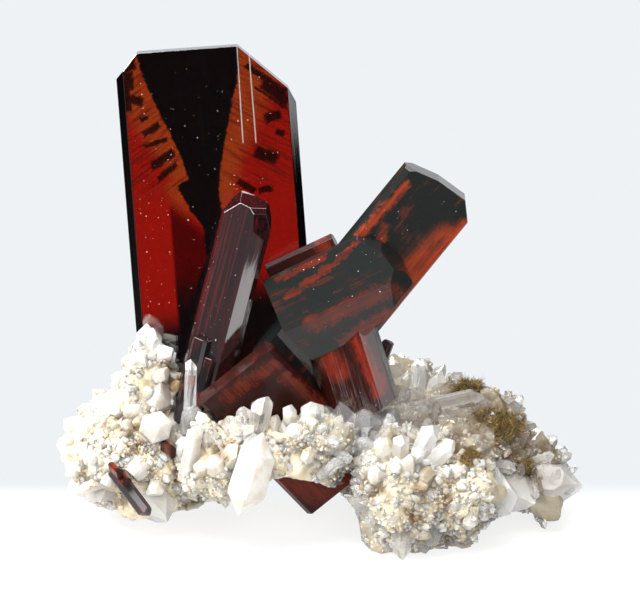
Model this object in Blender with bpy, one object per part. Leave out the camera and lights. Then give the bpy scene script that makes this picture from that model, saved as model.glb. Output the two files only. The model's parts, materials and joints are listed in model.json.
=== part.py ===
"""Brookite on quartz: dark red blades and prisms of brookite, grown on a matrix of milky and clear quartz.

Metres, +Z up. The specimen rests at z = 0 on its broken underside. +X is to the right of its best face, +Y goes
away from that face, and the origin is under the middle of the specimen. Sizes and places below are in millimetres.
"""

import math
from typing import NamedTuple

import bmesh
import bpy
import numpy as np
from mathutils import Matrix, Vector, noise

MM = 0.001
SOCKET_GAP = 0.3  # between a brookite crystal and the quartz that it stands in

BROOKITE_RED = (0.20, 0.012, 0.006, 1.0)
BROOKITE_DARK = (0.030, 0.016, 0.015, 1.0)
QUARTZ_WHITE = (0.78, 0.76, 0.70, 1.0)

# Quartz: six rhombohedral faces close a prism, each this far from square to the prism's length.
RHOMB_ANGLE = math.radians(51.8)
QUARTZ_SIDES = 6
QUARTZ_TAPER = 0.9  # the free end's radius over the buried end's


class Prism(NamedTuple):
    """A tabular brookite prism. Its length runs from foot to tip, and its broad faces look to -Y and +Y.

    edges gives, for each long edge that is bevelled, (x side, y side, run over the broad face, run over the side).
    turn swings the front face to the right, in degrees about the length. ends are flat faces that cut the prism,
    each a normal and a point, with x to the right, y away and z along the length, counted from the tip's middle.
    """

    foot: tuple
    tip: tuple
    breadth: float
    thickness: float
    edges: tuple
    turn: float = 0.0
    ends: tuple = ()


class Point(NamedTuple):
    """A quartz crystal from foot to tip. uneven spreads its end faces along its length, as a share of its radius."""

    foot: tuple
    tip: tuple
    radius: float
    uneven: float = 0.5
    both_ends: bool = False


class Lump(NamedTuple):
    """A swelling of the massive quartz, an ellipsoid that points grow from."""

    centre: tuple
    radii: tuple
    points: int


def even_edges(over_face, over_side):
    """The same bevel on all four long edges."""
    return tuple((x, y, over_face, over_side) for x in (-1, 1) for y in (-1, 1))


TALL_BLADE = Prism(
    foot=(-6.6, 1.9, 7.2),
    tip=(-8.7, 5.2, 35.5),
    breadth=13.2,
    thickness=1.7,
    edges=even_edges(0.55, 0.7),
    ends=(
        ((-0.74, 0.0, 0.67), (-4.9, 0.0, 0.0)),
        ((0.69, 0.0, 0.72), (2.55, 0.0, 0.0)),
        ((0.92, 0.0, 0.40), (6.05, 0.0, -3.3)),
    ),
)

FRONT_PRISM = Prism(
    foot=(-9.4, -1.4, 7.8),
    tip=(-4.95, -2.1, 25.7),
    breadth=3.75,
    thickness=2.1,
    edges=((1, -1, 0.65, 0.75), (-1, -1, 0.4, 0.4), (1, 1, 0.5, 0.6), (-1, 1, 0.5, 0.6)),
    turn=-30.0,
    ends=(
        ((-0.79, -0.10, 0.61), (-0.75, 0.0, -0.05)),
        ((0.30, -0.10, 0.95), (0.55, 0.0, 0.0)),
        ((0.88, -0.20, 0.42), (1.2, 0.0, -0.2)),
        ((0.25, -0.66, 0.70), (0.1, -0.7, 0.0)),
        ((0.42, -0.89, 0.18), (0.7, -1.3, -1.25)),
    ),
)
PRISM_ROOTLETS = (
    Prism((-10.3, -2.1, 8.6), (-8.7, -2.4, 15.2), 1.3, 1.0, even_edges(0.3, 0.25), -30.0),
    Prism((-9.4, -2.6, 8.6), (-8.1, -2.8, 13.8), 0.9, 0.8, even_edges(0.2, 0.2), -20.0),
)

UPPER_BLADE = Prism(
    foot=(-2.5, -0.7, 12.0),
    tip=(9.1, -0.7, 26.7),
    breadth=6.4,
    thickness=2.1,
    edges=even_edges(0.7, 0.8),
    turn=9.0,
    ends=(
        ((-0.21, 0.0, 0.98), (1.6, 0.0, 0.45)),
        ((0.71, 0.0, 0.70), (1.6, 0.0, 0.45)),
        ((-0.50, -0.45, 0.74), (-2.9, -1.0, -0.55)),
    ),
)
CROSSING_PRISM = Prism(
    foot=(-2.7, -2.9, 16.5),
    tip=(6.1, -3.1, 20.9),
    breadth=6.6,
    thickness=3.3,
    edges=(
        (1, -1, 2.0, 2.5),
        (-1, -1, 0.45, 0.5),
        (1, 1, 0.8, 0.7),
        (-1, 1, 0.9, 0.8),
    ),
    turn=-33.0,
    ends=(
        ((-0.33, -0.12, 0.94), (0.35, 0.0, 0.0)),
        ((-0.73, -0.18, 0.67), (-2.3, 0.0, -1.2)),
        ((0.50, -0.30, 0.82), (0.35, 0.0, 0.0)),
        ((0.93, -0.10, 0.36), (2.2, 0.0, -1.4)),
        ((0.24, 0.0, -0.97), (0.2, 0.0, -9.84)),
    ),
)
PARALLEL_PRISM = Prism(
    foot=(-3.5, 0.2, 18.9),
    tip=(1.4, 0.1, 21.3),
    breadth=2.6,
    thickness=1.7,
    edges=even_edges(0.4, 0.4),
    turn=-20.0,
)
STUB_PRISM = Prism(
    foot=(0.6, -2.4, 18.2),
    tip=(3.5, -3.0, 8.8),
    breadth=5.4,
    thickness=2.8,
    edges=((-1, -1, 0.9, 1.0), (1, -1, 1.3, 1.3), (-1, 1, 0.5, 0.5), (1, 1, 0.5, 0.5)),
    turn=10.0,
    ends=(((-0.35, -0.2, 0.91), (-1.6, 0.0, -0.8)),),
)
THROUGH_PLATE = Prism(
    foot=(1.7, -1.1, 3.6),
    tip=(-6.3, -4.6, 13.2),
    breadth=7.0,
    thickness=1.6,
    edges=even_edges(0.35, 0.5),
    ends=(((0.60, 0.0, 0.80), (3.2, 0.0, -0.1)),),
)
CLUSTER_ARMS = (UPPER_BLADE, PARALLEL_PRISM, STUB_PRISM, THROUGH_PLATE)

SMALL_PRISM = Prism(
    foot=(-15.2, -5.0, 5.7),
    tip=(-12.75, -7.9, 3.3),
    breadth=1.05,
    thickness=0.85,
    edges=even_edges(0.3, 0.25),
    turn=-25.0,
    ends=(
        ((-0.55, 0.0, 0.84), (-0.1, 0.0, 0.0)),
        ((0.66, 0.0, 0.75), (0.1, 0.0, 0.0)),
    ),
)
BACK_PRISM = Prism(
    foot=(3.6, 3.0, 9.2),
    tip=(5.1, 2.8, 13.5),
    breadth=0.9,
    thickness=0.9,
    edges=even_edges(0.25, 0.25),
    turn=20.0,
    ends=(((-0.5, -0.3, 0.8), (0.0, 0.0, 0.0)),),
)

LUMPS = {
    "left_mass": Lump((-14.4, 3.0, 4.7), (4.5, 4.4, 4.4), 18),
    "left_back": Lump((-12.8, 5.4, 3.7), (4.6, 4.4, 4.3), 16),
    "left_front": Lump((-13.2, -2.0, 5.3), (4.2, 3.0, 3.5), 17),
    "left_shelf": Lump((-16.6, 0.4, 5.4), (2.3, 3.0, 2.6), 10),
    "left_hump": Lump((-12.6, -0.3, 10.6), (2.0, 1.9, 3.7), 12),
    "hump_side": Lump((-14.6, 0.6, 8.6), (1.9, 2.2, 2.4), 7),
    "middle_front": Lump((-6.8, -5.3, 6.7), (3.3, 2.4, 2.8), 12),
    "middle": Lump((-5.5, 2.0, 6.2), (7.0, 4.4, 4.0), 10),
    "middle_back": Lump((-6.0, 6.4, 4.0), (7.2, 3.8, 4.2), 15),
    "front_bridge": Lump((-3.6, -5.4, 7.4), (2.0, 2.0, 2.0), 5),
    "core": Lump((1.2, 2.6, 6.0), (3.8, 4.6, 3.6), 10),
    "centre_front": Lump((-0.4, -5.2, 7.7), (3.2, 2.6, 2.6), 12),
    "right_front": Lump((5.8, -6.6, 3.7), (3.2, 2.9, 3.9), 15),
    "right_corner": Lump((9.8, -5.4, 3.9), (3.4, 2.8, 3.2), 12),
    "right_upper_front": Lump((5.4, -5.0, 6.4), (2.7, 2.6, 2.6), 9),
    "right_middle": Lump((9.2, -1.2, 4.8), (6.2, 4.6, 3.8), 14),
    "right_back": Lump((7.0, 5.4, 5.2), (6.4, 4.4, 5.3), 22),
    "right_shoulder": Lump((12.2, 3.2, 5.6), (3.8, 4.0, 3.5), 13),
    "far_right": Lump((15.4, 0.6, 3.9), (3.2, 3.9, 2.7), 14),
    "left_foot": Lump((-12.6, 5.8, 1.5), (4.4, 3.2, 2.5), 0),
    "back_foot": Lump((8.0, 5.6, 1.5), (4.4, 3.4, 2.5), 0),
    "right_foot": Lump((6.4, -5.9, 1.4), (3.0, 2.4, 2.4), 0),
}

# The crystals that stand out of the crust, left to right.
LARGE_POINTS = {
    "left_foot_block": Point((-13.6, -1.0, 4.4), (-11.7, -4.4, 1.2), 1.9, 0.9),
    "left_foot_side": Point((-16.0, 0.4, 3.6), (-17.2, -2.0, 1.6), 1.5, 0.9),
    "white_block": Point((-12.5, -2.4, 8.8), (-11.6, -6.5, 10.1), 1.4),
    "standing_rod": Point((-9.7, -3.4, 8.2), (-9.5, -3.2, 14.0), 0.55, 0.8),
    "rod_foot": Point((-9.9, -3.0, 7.4), (-9.3, -4.2, 10.8), 0.9),
    "white_finger": Point((-9.7, -5.4, 5.2), (-8.9, -6.2, 10.4), 0.7, 0.6),
    "white_finger_low": Point((-9.4, -4.6, 5.6), (-8.3, -6.6, 8.0), 0.9),
    "hump_top": Point((-12.9, 0.2, 11.8), (-12.4, -0.7, 16.2), 1.2, 0.8),
    "hump_left": Point((-12.9, 0.0, 11.0), (-13.8, -0.8, 15.2), 1.1, 0.8),
    "hump_front": Point((-12.0, -0.4, 9.8), (-11.8, -3.4, 12.2), 1.5, 0.8),
    "hump_shoulder": Point((-14.4, 0.4, 8.2), (-15.8, -0.8, 10.8), 1.3, 0.8),
    "clear_left": Point((-5.4, -5.6, 8.0), (-7.0, -6.8, 11.9), 0.95),
    "clear_middle": Point((-5.4, -6.0, 8.4), (-5.6, -6.4, 12.3), 0.7),
    "clear_right": Point((-4.9, -6.0, 8.6), (-4.0, -6.3, 12.8), 0.85),
    "white_spindle": Point((-6.2, -8.6, 3.5), (-3.8, -8.0, 10.0), 1.45, 0.6, both_ends=True),
    "spindle_seat": Point((-6.2, -5.2, 6.8), (-5.0, -8.2, 6.6), 1.3),
    "centre_block": Point((-0.4, -4.6, 9.0), (-0.7, -6.4, 11.7), 1.05),
    "centre_left": Point((-1.8, -4.4, 8.4), (-3.0, -6.2, 9.6), 0.95),
    "centre_low": Point((-0.6, -5.4, 7.4), (-1.6, -7.8, 6.8), 0.9),
    "clear_needle": Point((-0.5, -5.8, 5.7), (1.45, -8.4, 7.8), 0.42, 0.4),
    "grey_block": Point((3.6, -3.6, 7.0), (3.4, -5.4, 11.0), 1.25),
    "grey_block_left": Point((2.6, -3.0, 7.4), (1.5, -4.4, 11.1), 1.0),
    "grey_block_low": Point((4.4, -2.6, 7.2), (5.6, -4.2, 10.4), 1.1),
    "white_fan_low": Point((5.2, -7.0, 5.2), (3.5, -8.8, 6.8), 1.1),
    "white_fan_mid": Point((5.6, -5.6, 5.8), (6.8, -8.2, 9.5), 1.05),
    "white_fan_high": Point((7.0, -5.0, 6.4), (8.6, -7.2, 10.1), 1.0),
    "white_fan_left": Point((5.0, -5.8, 6.0), (4.5, -7.8, 9.3), 1.0),
    "front_knob": Point((5.7, -8.0, 3.8), (6.1, -10.3, 0.2), 0.85),
    "front_foot_left": Point((5.0, -6.6, 4.4), (3.2, -8.0, 2.4), 1.1, 0.8),
    "lower_tooth": Point((7.4, -6.6, 3.2), (9.0, -8.5, 0.5), 1.2, 0.7),
    "clear_barrel": Point((10.6, -3.6, 5.4), (15.0, -4.6, 4.9), 1.75, 0.3),
    "clear_barrel_low": Point((12.4, -2.4, 4.6), (14.6, -5.4, 1.8), 1.4, 0.7),
    "long_rod": Point((4.8, 1.0, 8.0), (13.4, 2.0, 10.0), 0.85, 0.6),
    "long_rod_low": Point((9.0, 1.0, 8.0), (14.8, 1.8, 9.0), 0.9, 0.6),
    "back_block": Point((7.2, 5.0, 8.2), (7.5, 6.0, 12.0), 1.4, 0.8),
    "back_block_left": Point((5.6, 5.4, 8.0), (5.4, 6.4, 11.7), 1.2),
    "far_corner": Point((15.6, -0.4, 3.7), (20.1, -0.9, 3.1), 1.9, 0.3),
    "far_corner_low": Point((14.6, -0.6, 3.4), (16.4, -2.8, 1.6), 1.7, 0.8),
    "far_corner_high": Point((14.6, 0.6, 4.6), (17.0, 0.6, 7.2), 1.4),
    "left_edge": Point((-16.0, 0.6, 4.8), (-20.0, -0.2, 6.6), 1.4, 0.4),
    "left_edge_low": Point((-16.2, 1.0, 3.4), (-19.4, 0.2, 2.2), 1.5),
    "left_edge_high": Point((-16.2, 0.6, 5.8), (-18.2, 0.2, 8.4), 1.2),
    "back_spine": Point((-3.0, 7.2, 5.0), (-2.0, 10.9, 6.4), 1.4),
    "back_tooth": Point((9.0, 7.2, 5.0), (10.2, 10.9, 5.4), 1.5),
    "back_corner": Point((-13.0, 6.6, 4.4), (-15.4, 10.4, 4.8), 1.5),
}

CRUST_SEED = 1
CRUST_LENGTH = (2.2, 4.4)
CRUST_RADIUS = (0.75, 1.45)
CRUST_END_FACES = 3
BURIED = 0.8
CRUST_TILT = 0.55  # how far a crust point leans off the rock, as a share of its length
LUMP_STEPS = 1  # how often the rock's faces are split
LUMP_RELIEF = 0.3  # depth of the rock's dents, as a share of its radius
LUMP_GRAIN = 1.7  # dents over one radius

# The hollow under the front, where the through plate's lower corner hangs free of the floor.
UNDERCUT_MIDDLE = (-2.2, 0.0, -0.35)
UNDERCUT_HALF_WIDTH = 5.2
UNDERCUT_HALF_HEIGHT = 4.0
UNDERCUT_SLOPE = math.radians(15.0)


def clear_scene():
    """Removes the objects that a new file starts with."""
    for obj in list(bpy.data.objects):
        bpy.data.objects.remove(obj)


def new_collection(name):
    """A collection linked to the scene."""
    collection = bpy.data.collections.new(name)
    bpy.context.scene.collection.children.link(collection)
    return collection


def material(name, colour, roughness, metallic=0.0):
    """A Principled material with one colour."""
    made = bpy.data.materials.new(name)
    made.use_nodes = True
    shader = made.node_tree.nodes["Principled BSDF"]
    shader.inputs["Base Color"].default_value = colour
    shader.inputs["Roughness"].default_value = roughness
    shader.inputs["Metallic"].default_value = metallic
    return made


def object_from(bm, name, collection, finish):
    """Turns a bmesh in millimetres into an object in metres."""
    bmesh.ops.scale(bm, vec=(MM, MM, MM), verts=bm.verts)
    bmesh.ops.recalc_face_normals(bm, faces=bm.faces)
    mesh = bpy.data.meshes.new(name)
    bm.to_mesh(mesh)
    bm.free()
    mesh.materials.append(finish)
    obj = bpy.data.objects.new(name, mesh)
    collection.objects.link(obj)
    return obj


def as_tool(obj):
    """Keeps an object for a Boolean and out of the model."""
    obj.hide_render = True
    obj.display_type = "WIRE"
    return obj


def cut_off(bm, normal, point):
    """Cuts away what lies beyond a plane, and closes the cut with a flat face."""
    everything = bm.verts[:] + bm.edges[:] + bm.faces[:]
    bmesh.ops.bisect_plane(bm, geom=everything, plane_co=point, plane_no=normal, clear_outer=True)
    rim = [edge for edge in bm.edges if edge.is_boundary]
    bmesh.ops.holes_fill(bm, edges=rim)


def stand(obj, foot, tip):
    """Sets an object's z axis along foot to tip, with the origin at tip and y as near to world +Y as it can be."""
    along = (Vector(tip) - Vector(foot)).normalized()
    away = (Vector((0.0, 1.0, 0.0)) - along * along.y).normalized()
    right = away.cross(along)
    axes = Matrix((right, away, along)).transposed()
    obj.location = Vector(tip) * MM
    obj.rotation_euler = axes.to_euler()


def brookite(name, prism, collection, finish, grow=0.0):
    """A box cut by planes along its long edges and at its ends; grow moves every face outwards."""
    length = (Vector(prism.tip) - Vector(prism.foot)).length
    half_breadth = prism.breadth / 2
    half_thickness = prism.thickness / 2
    bm = bmesh.new()
    bmesh.ops.create_cube(bm, size=1.0)
    size = (prism.breadth + 2 * grow, prism.thickness + 2 * grow, length + 2 * grow)
    bmesh.ops.scale(bm, vec=size, verts=bm.verts)
    bmesh.ops.translate(bm, vec=(0.0, 0.0, -length / 2), verts=bm.verts)
    for x_side, y_side, over_face, over_side in prism.edges:
        normal = Vector((x_side * over_side, y_side * over_face, 0.0)).normalized()
        point = Vector((x_side * (half_breadth - over_face), y_side * half_thickness, 0.0))
        cut_off(bm, normal, point + normal * grow)
    swing = Matrix.Rotation(math.radians(prism.turn), 3, "Z")
    bmesh.ops.rotate(bm, cent=(0.0, 0.0, 0.0), matrix=swing, verts=bm.verts)
    for end_normal, end_point in prism.ends:
        normal = Vector(end_normal).normalized()
        cut_off(bm, normal, Vector(end_point) + normal * grow)
    obj = object_from(bm, name, collection, finish)
    stand(obj, prism.foot, prism.tip)
    return obj


def quartz(name, point, drops, collection, finish):
    """A six-sided prism closed by three or six rhombohedral faces, each dropped below the tip by its own share."""
    length = (Vector(point.tip) - Vector(point.foot)).length
    bm = bmesh.new()
    bmesh.ops.create_cone(
        bm,
        cap_ends=True,
        segments=QUARTZ_SIDES,
        radius1=point.radius,
        radius2=point.radius * QUARTZ_TAPER,
        depth=length,
    )
    bmesh.ops.translate(bm, vec=(0.0, 0.0, -length / 2), verts=bm.verts)
    sides_apart = QUARTZ_SIDES // len(drops)
    for face, drop in enumerate(drops):
        around = math.radians(360.0 / QUARTZ_SIDES) * face * sides_apart
        outward = math.sin(RHOMB_ANGLE)
        normal = Vector((outward * math.cos(around), outward * math.sin(around), math.cos(RHOMB_ANGLE)))
        fall = drop * point.uneven * point.radius
        cut_off(bm, normal, Vector((0.0, 0.0, -fall)))
        if point.both_ends:
            below = Vector((normal.x, normal.y, -normal.z))
            cut_off(bm, below, Vector((0.0, 0.0, fall - length)))
    obj = object_from(bm, name, collection, finish)
    stand(obj, point.foot, point.tip)
    return obj


def rock_lump(name, lump, collection, finish):
    """An ellipsoid with a rough broken skin."""
    bm = bmesh.new()
    bmesh.ops.create_icosphere(bm, subdivisions=LUMP_STEPS, radius=1.0)
    shift = Vector(lump.centre)
    for vert in bm.verts:
        dent = noise.noise(vert.co * LUMP_GRAIN + shift)
        vert.co *= 1.0 + LUMP_RELIEF * dent
    bmesh.ops.scale(bm, vec=lump.radii, verts=bm.verts)
    obj = object_from(bm, name, collection, finish)
    obj.location = shift * MM
    return obj


def buried(place, own):
    """True where a place on one lump lies inside another."""
    return any(
        np.sum(((place - np.array(lump.centre)) / np.array(lump.radii)) ** 2) < BURIED
        for lump in LUMPS.values()
        if lump is not own
    )


def crust_points(lump, rng):
    """Short quartz points spread evenly over a lump, leaning off it at random.

    The nth direction follows the golden angle round the vertical, so no two points start in one place. A point
    that would start inside another lump is left out.
    """
    number = np.arange(lump.points) + 0.5
    height = 1.0 - 1.45 * number / lump.points
    around = number * math.pi * (3.0 - math.sqrt(5.0)) + rng.uniform(0.0, 2.0 * math.pi)
    level = np.sqrt(1.0 - height**2)
    outward = np.stack([level * np.cos(around), level * np.sin(around), height], axis=1)
    radii = np.array(lump.radii)
    surface = np.array(lump.centre) + radii * outward
    lean = outward / radii
    lean /= np.linalg.norm(lean, axis=1, keepdims=True)
    lean += CRUST_TILT * rng.uniform(-1.0, 1.0, lean.shape)
    lean /= np.linalg.norm(lean, axis=1, keepdims=True)
    length = rng.uniform(*CRUST_LENGTH, lump.points)[:, None]
    radius = rng.uniform(*CRUST_RADIUS, lump.points)
    foot = surface - 0.6 * length * lean
    tip = surface + 0.4 * length * lean
    return [
        Point(tuple(foot[i]), tuple(tip[i]), radius[i], 0.9)
        for i in range(lump.points)
        if not buried(surface[i], lump)
    ]


def undercut(collection, finish):
    """A slanting tunnel under the front of the matrix."""
    bm = bmesh.new()
    bmesh.ops.create_cone(bm, cap_ends=True, segments=9, radius1=1.0, radius2=1.0, depth=60.0)
    bmesh.ops.scale(bm, vec=(UNDERCUT_HALF_WIDTH, UNDERCUT_HALF_HEIGHT, 1.0), verts=bm.verts)
    obj = object_from(bm, "undercut", collection, finish)
    obj.location = Vector(UNDERCUT_MIDDLE) * MM
    obj.rotation_euler = (math.pi / 2 - UNDERCUT_SLOPE, 0.0, 0.0)
    return as_tool(obj)


def floor_cutter(collection, finish):
    """What would lie below the surface that the specimen rests on."""
    bm = bmesh.new()
    bmesh.ops.create_cube(bm, size=60.0)
    bmesh.ops.translate(bm, vec=(0.0, 0.0, -30.0), verts=bm.verts)
    return as_tool(object_from(bm, "below_the_floor", collection, finish))


def boolean(obj, name, operation, collection):
    """Joins a whole collection to an object, or cuts it away."""
    modifier = obj.modifiers.new(name, "BOOLEAN")
    modifier.operation = operation
    modifier.operand_type = "COLLECTION"
    modifier.collection = collection
    modifier.solver = "EXACT"


def build_brookites(specimen, arms, red, dark):
    """The five brookite crystals and groups that are separate pieces."""
    brookite("tall_blade", TALL_BLADE, specimen, red)
    front = brookite("front_prism", FRONT_PRISM, specimen, dark)
    rootlets = new_collection("front_prism_rootlets")
    for number, rootlet in enumerate(PRISM_ROOTLETS, 1):
        as_tool(brookite(f"rootlet_{number}", rootlet, rootlets, dark))
    boolean(front, "rootlets", "UNION", rootlets)
    cluster = brookite("crossed_cluster", CROSSING_PRISM, specimen, red)
    for number, arm in enumerate(CLUSTER_ARMS, 1):
        as_tool(brookite(f"cluster_arm_{number}", arm, arms, red))
    boolean(cluster, "arms", "UNION", arms)
    brookite("small_prism", SMALL_PRISM, specimen, dark)
    brookite("back_prism", BACK_PRISM, specimen, dark)


def build_quartz(specimen, grown, cutters, white):
    """The matrix: rock lumps and every quartz point in one solid, with a socket for each brookite crystal."""
    rng = np.random.default_rng(CRUST_SEED)
    names = list(LUMPS)
    matrix = rock_lump("quartz_matrix", LUMPS[names[0]], specimen, white)
    for name in names[1:]:
        as_tool(rock_lump(name, LUMPS[name], grown, white))
    for name, lump in LUMPS.items():
        for number, point in enumerate(crust_points(lump, rng)):
            drops = rng.uniform(0.0, 1.0, CRUST_END_FACES)
            as_tool(quartz(f"{name}_point_{number}", point, drops, grown, white))
    for name, point in LARGE_POINTS.items():
        drops = rng.uniform(0.0, 1.0, QUARTZ_SIDES)
        as_tool(quartz(name, point, drops, grown, white))
    sockets = (TALL_BLADE, FRONT_PRISM, *PRISM_ROOTLETS, CROSSING_PRISM, *CLUSTER_ARMS, SMALL_PRISM, BACK_PRISM)
    for number, prism in enumerate(sockets, 1):
        as_tool(brookite(f"socket_{number}", prism, cutters, white, grow=SOCKET_GAP))
    undercut(cutters, white)
    floor_cutter(cutters, white)
    boolean(matrix, "crystals", "UNION", grown)
    boolean(matrix, "sockets", "DIFFERENCE", cutters)


def main():
    """Builds the specimen."""
    clear_scene()
    specimen = new_collection("brookite_on_quartz")
    arms = new_collection("cluster_arms")
    grown = new_collection("quartz_crystals")
    cutters = new_collection("cutters")
    red = material("brookite_red", BROOKITE_RED, 0.08)
    dark = material("brookite_dark", BROOKITE_DARK, 0.12)
    white = material("quartz_milky", QUARTZ_WHITE, 0.35)
    build_brookites(specimen, arms, red, dark)
    build_quartz(specimen, grown, cutters, white)


main()
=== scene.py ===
"""Looks of the brookite on quartz: dark red blades and prisms on a druse of milky and clear quartz.

Everything is placed in metres in the model's own frame: +X right, +Y away from the best face, +Z up, resting
at z = 0. Sizes and places below are in millimetres unless a line says otherwise.
"""

import itertools
import json
import logging
import math
from dataclasses import dataclass
from enum import Enum
from functools import reduce

import bmesh
import bpy
import numpy as np
from mathutils import Matrix, Vector

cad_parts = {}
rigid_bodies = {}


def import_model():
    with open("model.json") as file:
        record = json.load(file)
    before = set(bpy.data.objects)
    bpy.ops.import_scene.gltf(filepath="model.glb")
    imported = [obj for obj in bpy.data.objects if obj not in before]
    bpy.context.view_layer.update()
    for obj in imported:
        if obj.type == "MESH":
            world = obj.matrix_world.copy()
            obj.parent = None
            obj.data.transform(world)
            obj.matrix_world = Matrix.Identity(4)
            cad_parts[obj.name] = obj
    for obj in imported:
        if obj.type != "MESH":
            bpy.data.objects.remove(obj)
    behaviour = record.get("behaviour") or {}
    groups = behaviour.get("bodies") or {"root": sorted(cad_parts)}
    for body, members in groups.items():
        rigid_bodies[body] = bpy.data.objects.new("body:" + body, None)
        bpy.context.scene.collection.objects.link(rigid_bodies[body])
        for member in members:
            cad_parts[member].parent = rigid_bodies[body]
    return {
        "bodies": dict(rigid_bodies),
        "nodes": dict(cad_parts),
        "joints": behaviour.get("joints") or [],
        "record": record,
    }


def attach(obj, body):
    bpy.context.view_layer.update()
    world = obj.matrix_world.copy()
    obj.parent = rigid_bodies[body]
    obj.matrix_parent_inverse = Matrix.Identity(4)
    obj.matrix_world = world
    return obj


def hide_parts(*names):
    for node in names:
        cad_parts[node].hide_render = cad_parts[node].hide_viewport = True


log = logging.getLogger("brookite")
MM = 0.001

TURN = 2.0 * math.pi

Array = np.ndarray
Colour = tuple[float, float, float, float]
Material = bpy.types.Material
Object = bpy.types.Object
Pair = tuple[float, float]
Socket = bpy.types.NodeSocket
Triple = tuple[float, float, float]


# Plain geometry


def unit(vectors: Array) -> Array:
    """Vectors scaled to length one."""
    return vectors / np.linalg.norm(vectors, axis=-1, keepdims=True)


def standing_axes(foot: Array, tip: Array) -> Array:
    """Axes (..., 3, 3) of crystals from foot to tip, as rows: right, away (near +Y) and along."""
    along = unit(np.asarray(tip, float) - np.asarray(foot, float))
    away = unit(np.array([0.0, 1.0, 0.0]) - along * along[..., 1:2])
    return np.stack([np.cross(away, along), away, along], axis=-2)


class Waves:
    """A smooth random field: the mean of sine waves in random directions, from about -1 to 1."""

    count = 24

    def __init__(self, seed: int, finest: float, coarsest: float) -> None:
        """Draws the waves, with wavelengths from finest to coarsest in mm."""
        rng = np.random.default_rng(seed)
        lengths = np.geomspace(finest, coarsest, self.count)
        directions = unit(rng.normal(size=(self.count, 3)))
        self.numbers = directions * (TURN / lengths)[:, None]
        self.phases = rng.uniform(0.0, TURN, self.count)
        self.heights = (lengths / coarsest) ** 0.7

    def at(self, places: Array) -> Array:
        """The field at places (N, 3): the sum of height times sin(number . place + phase), scaled."""
        waves = np.sin(places @ self.numbers.T + self.phases)
        return waves @ self.heights / math.sqrt(0.5 * float(np.sum(self.heights**2))) / 2.0


def solid_faces(normals: Array, reaches: Array) -> tuple[Array, list[list[int]]]:
    """Corners and faces of the solid where normal . place <= reach holds for every plane.

    Every three planes meet in one place. The places that no other plane cuts away are the corners, and each
    plane's corners, sorted round its normal, are one face.

    Args:
        normals: outward unit normals, (P, 3).
        reaches: distance of each plane from the origin, (P,).

    Returns:
        Corners (C, 3), and faces as lists of corner numbers that run anticlockwise seen from outside.
    """
    trios = np.array(list(itertools.combinations(range(len(normals)), 3)))
    stacked = normals[trios]
    meeting = np.abs(np.linalg.det(stacked)) > 1e-5
    places = np.linalg.solve(stacked[meeting], reaches[trios[meeting]][..., None])[..., 0]
    inside = (places @ normals.T <= reaches + 1e-6).all(axis=1)
    corners = np.unique(np.round(places[inside], 5), axis=0)
    touching = np.abs(corners @ normals.T - reaches) < 5e-5
    faces = []
    for plane, normal in enumerate(normals):
        ring = np.flatnonzero(touching[:, plane])
        if len(ring) < 3:
            continue
        spokes = corners[ring] - corners[ring].mean(axis=0)
        first = unit(spokes[0])
        second = np.cross(normal, first)
        order = np.argsort(np.arctan2(spokes @ second, spokes @ first))
        faces.append(ring[order].tolist())
    return corners, faces


def linked(name: str, data: bpy.types.ID) -> Object:
    """A new object in the scene."""
    made = bpy.data.objects.new(name, data)
    bpy.context.collection.objects.link(made)
    return made


def new_piece(name: str, places: Array, faces: list | Array, finish: Material) -> Object:
    """Makes one mesh object from places in mm.

    Args:
        name: the piece's name.
        places: corners, (N, 3), in mm.
        faces: corner numbers of each face, a list or an (F, k) array.
        finish: its material.

    Returns:
        The object, at the origin, riding on the root body.
    """
    mesh = bpy.data.meshes.new(name)
    mesh.from_pydata((places * MM).tolist(), [], faces if isinstance(faces, list) else faces.tolist())
    mesh.validate()
    mesh.materials.append(finish)
    piece = linked(name, mesh)
    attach(piece, "root")
    log.info("%s: %d faces", name, len(mesh.polygons))
    return piece


def add_values(piece: Object, **named: Array) -> None:
    """Stores one number or one vector per corner of a piece under each name."""
    for name, values in named.items():
        kind, key = ("FLOAT", "value") if values.ndim == 1 else ("FLOAT_VECTOR", "vector")
        store = piece.data.attributes.new(name, kind, "POINT")
        store.data.foreach_set(key, np.ascontiguousarray(values, dtype=np.float32).ravel())


def quartz_piece(name: str, places: Array, faces: list | Array, finish: Material, **named: Array) -> Object:
    """A piece of the matrix, with the named values (tone, and stains mixed with painted crevice shade) at its
    corners.
    """
    piece = new_piece(name, places, faces, finish)
    add_values(piece, **named)
    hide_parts("quartz_matrix")
    return piece


# Materials


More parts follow.
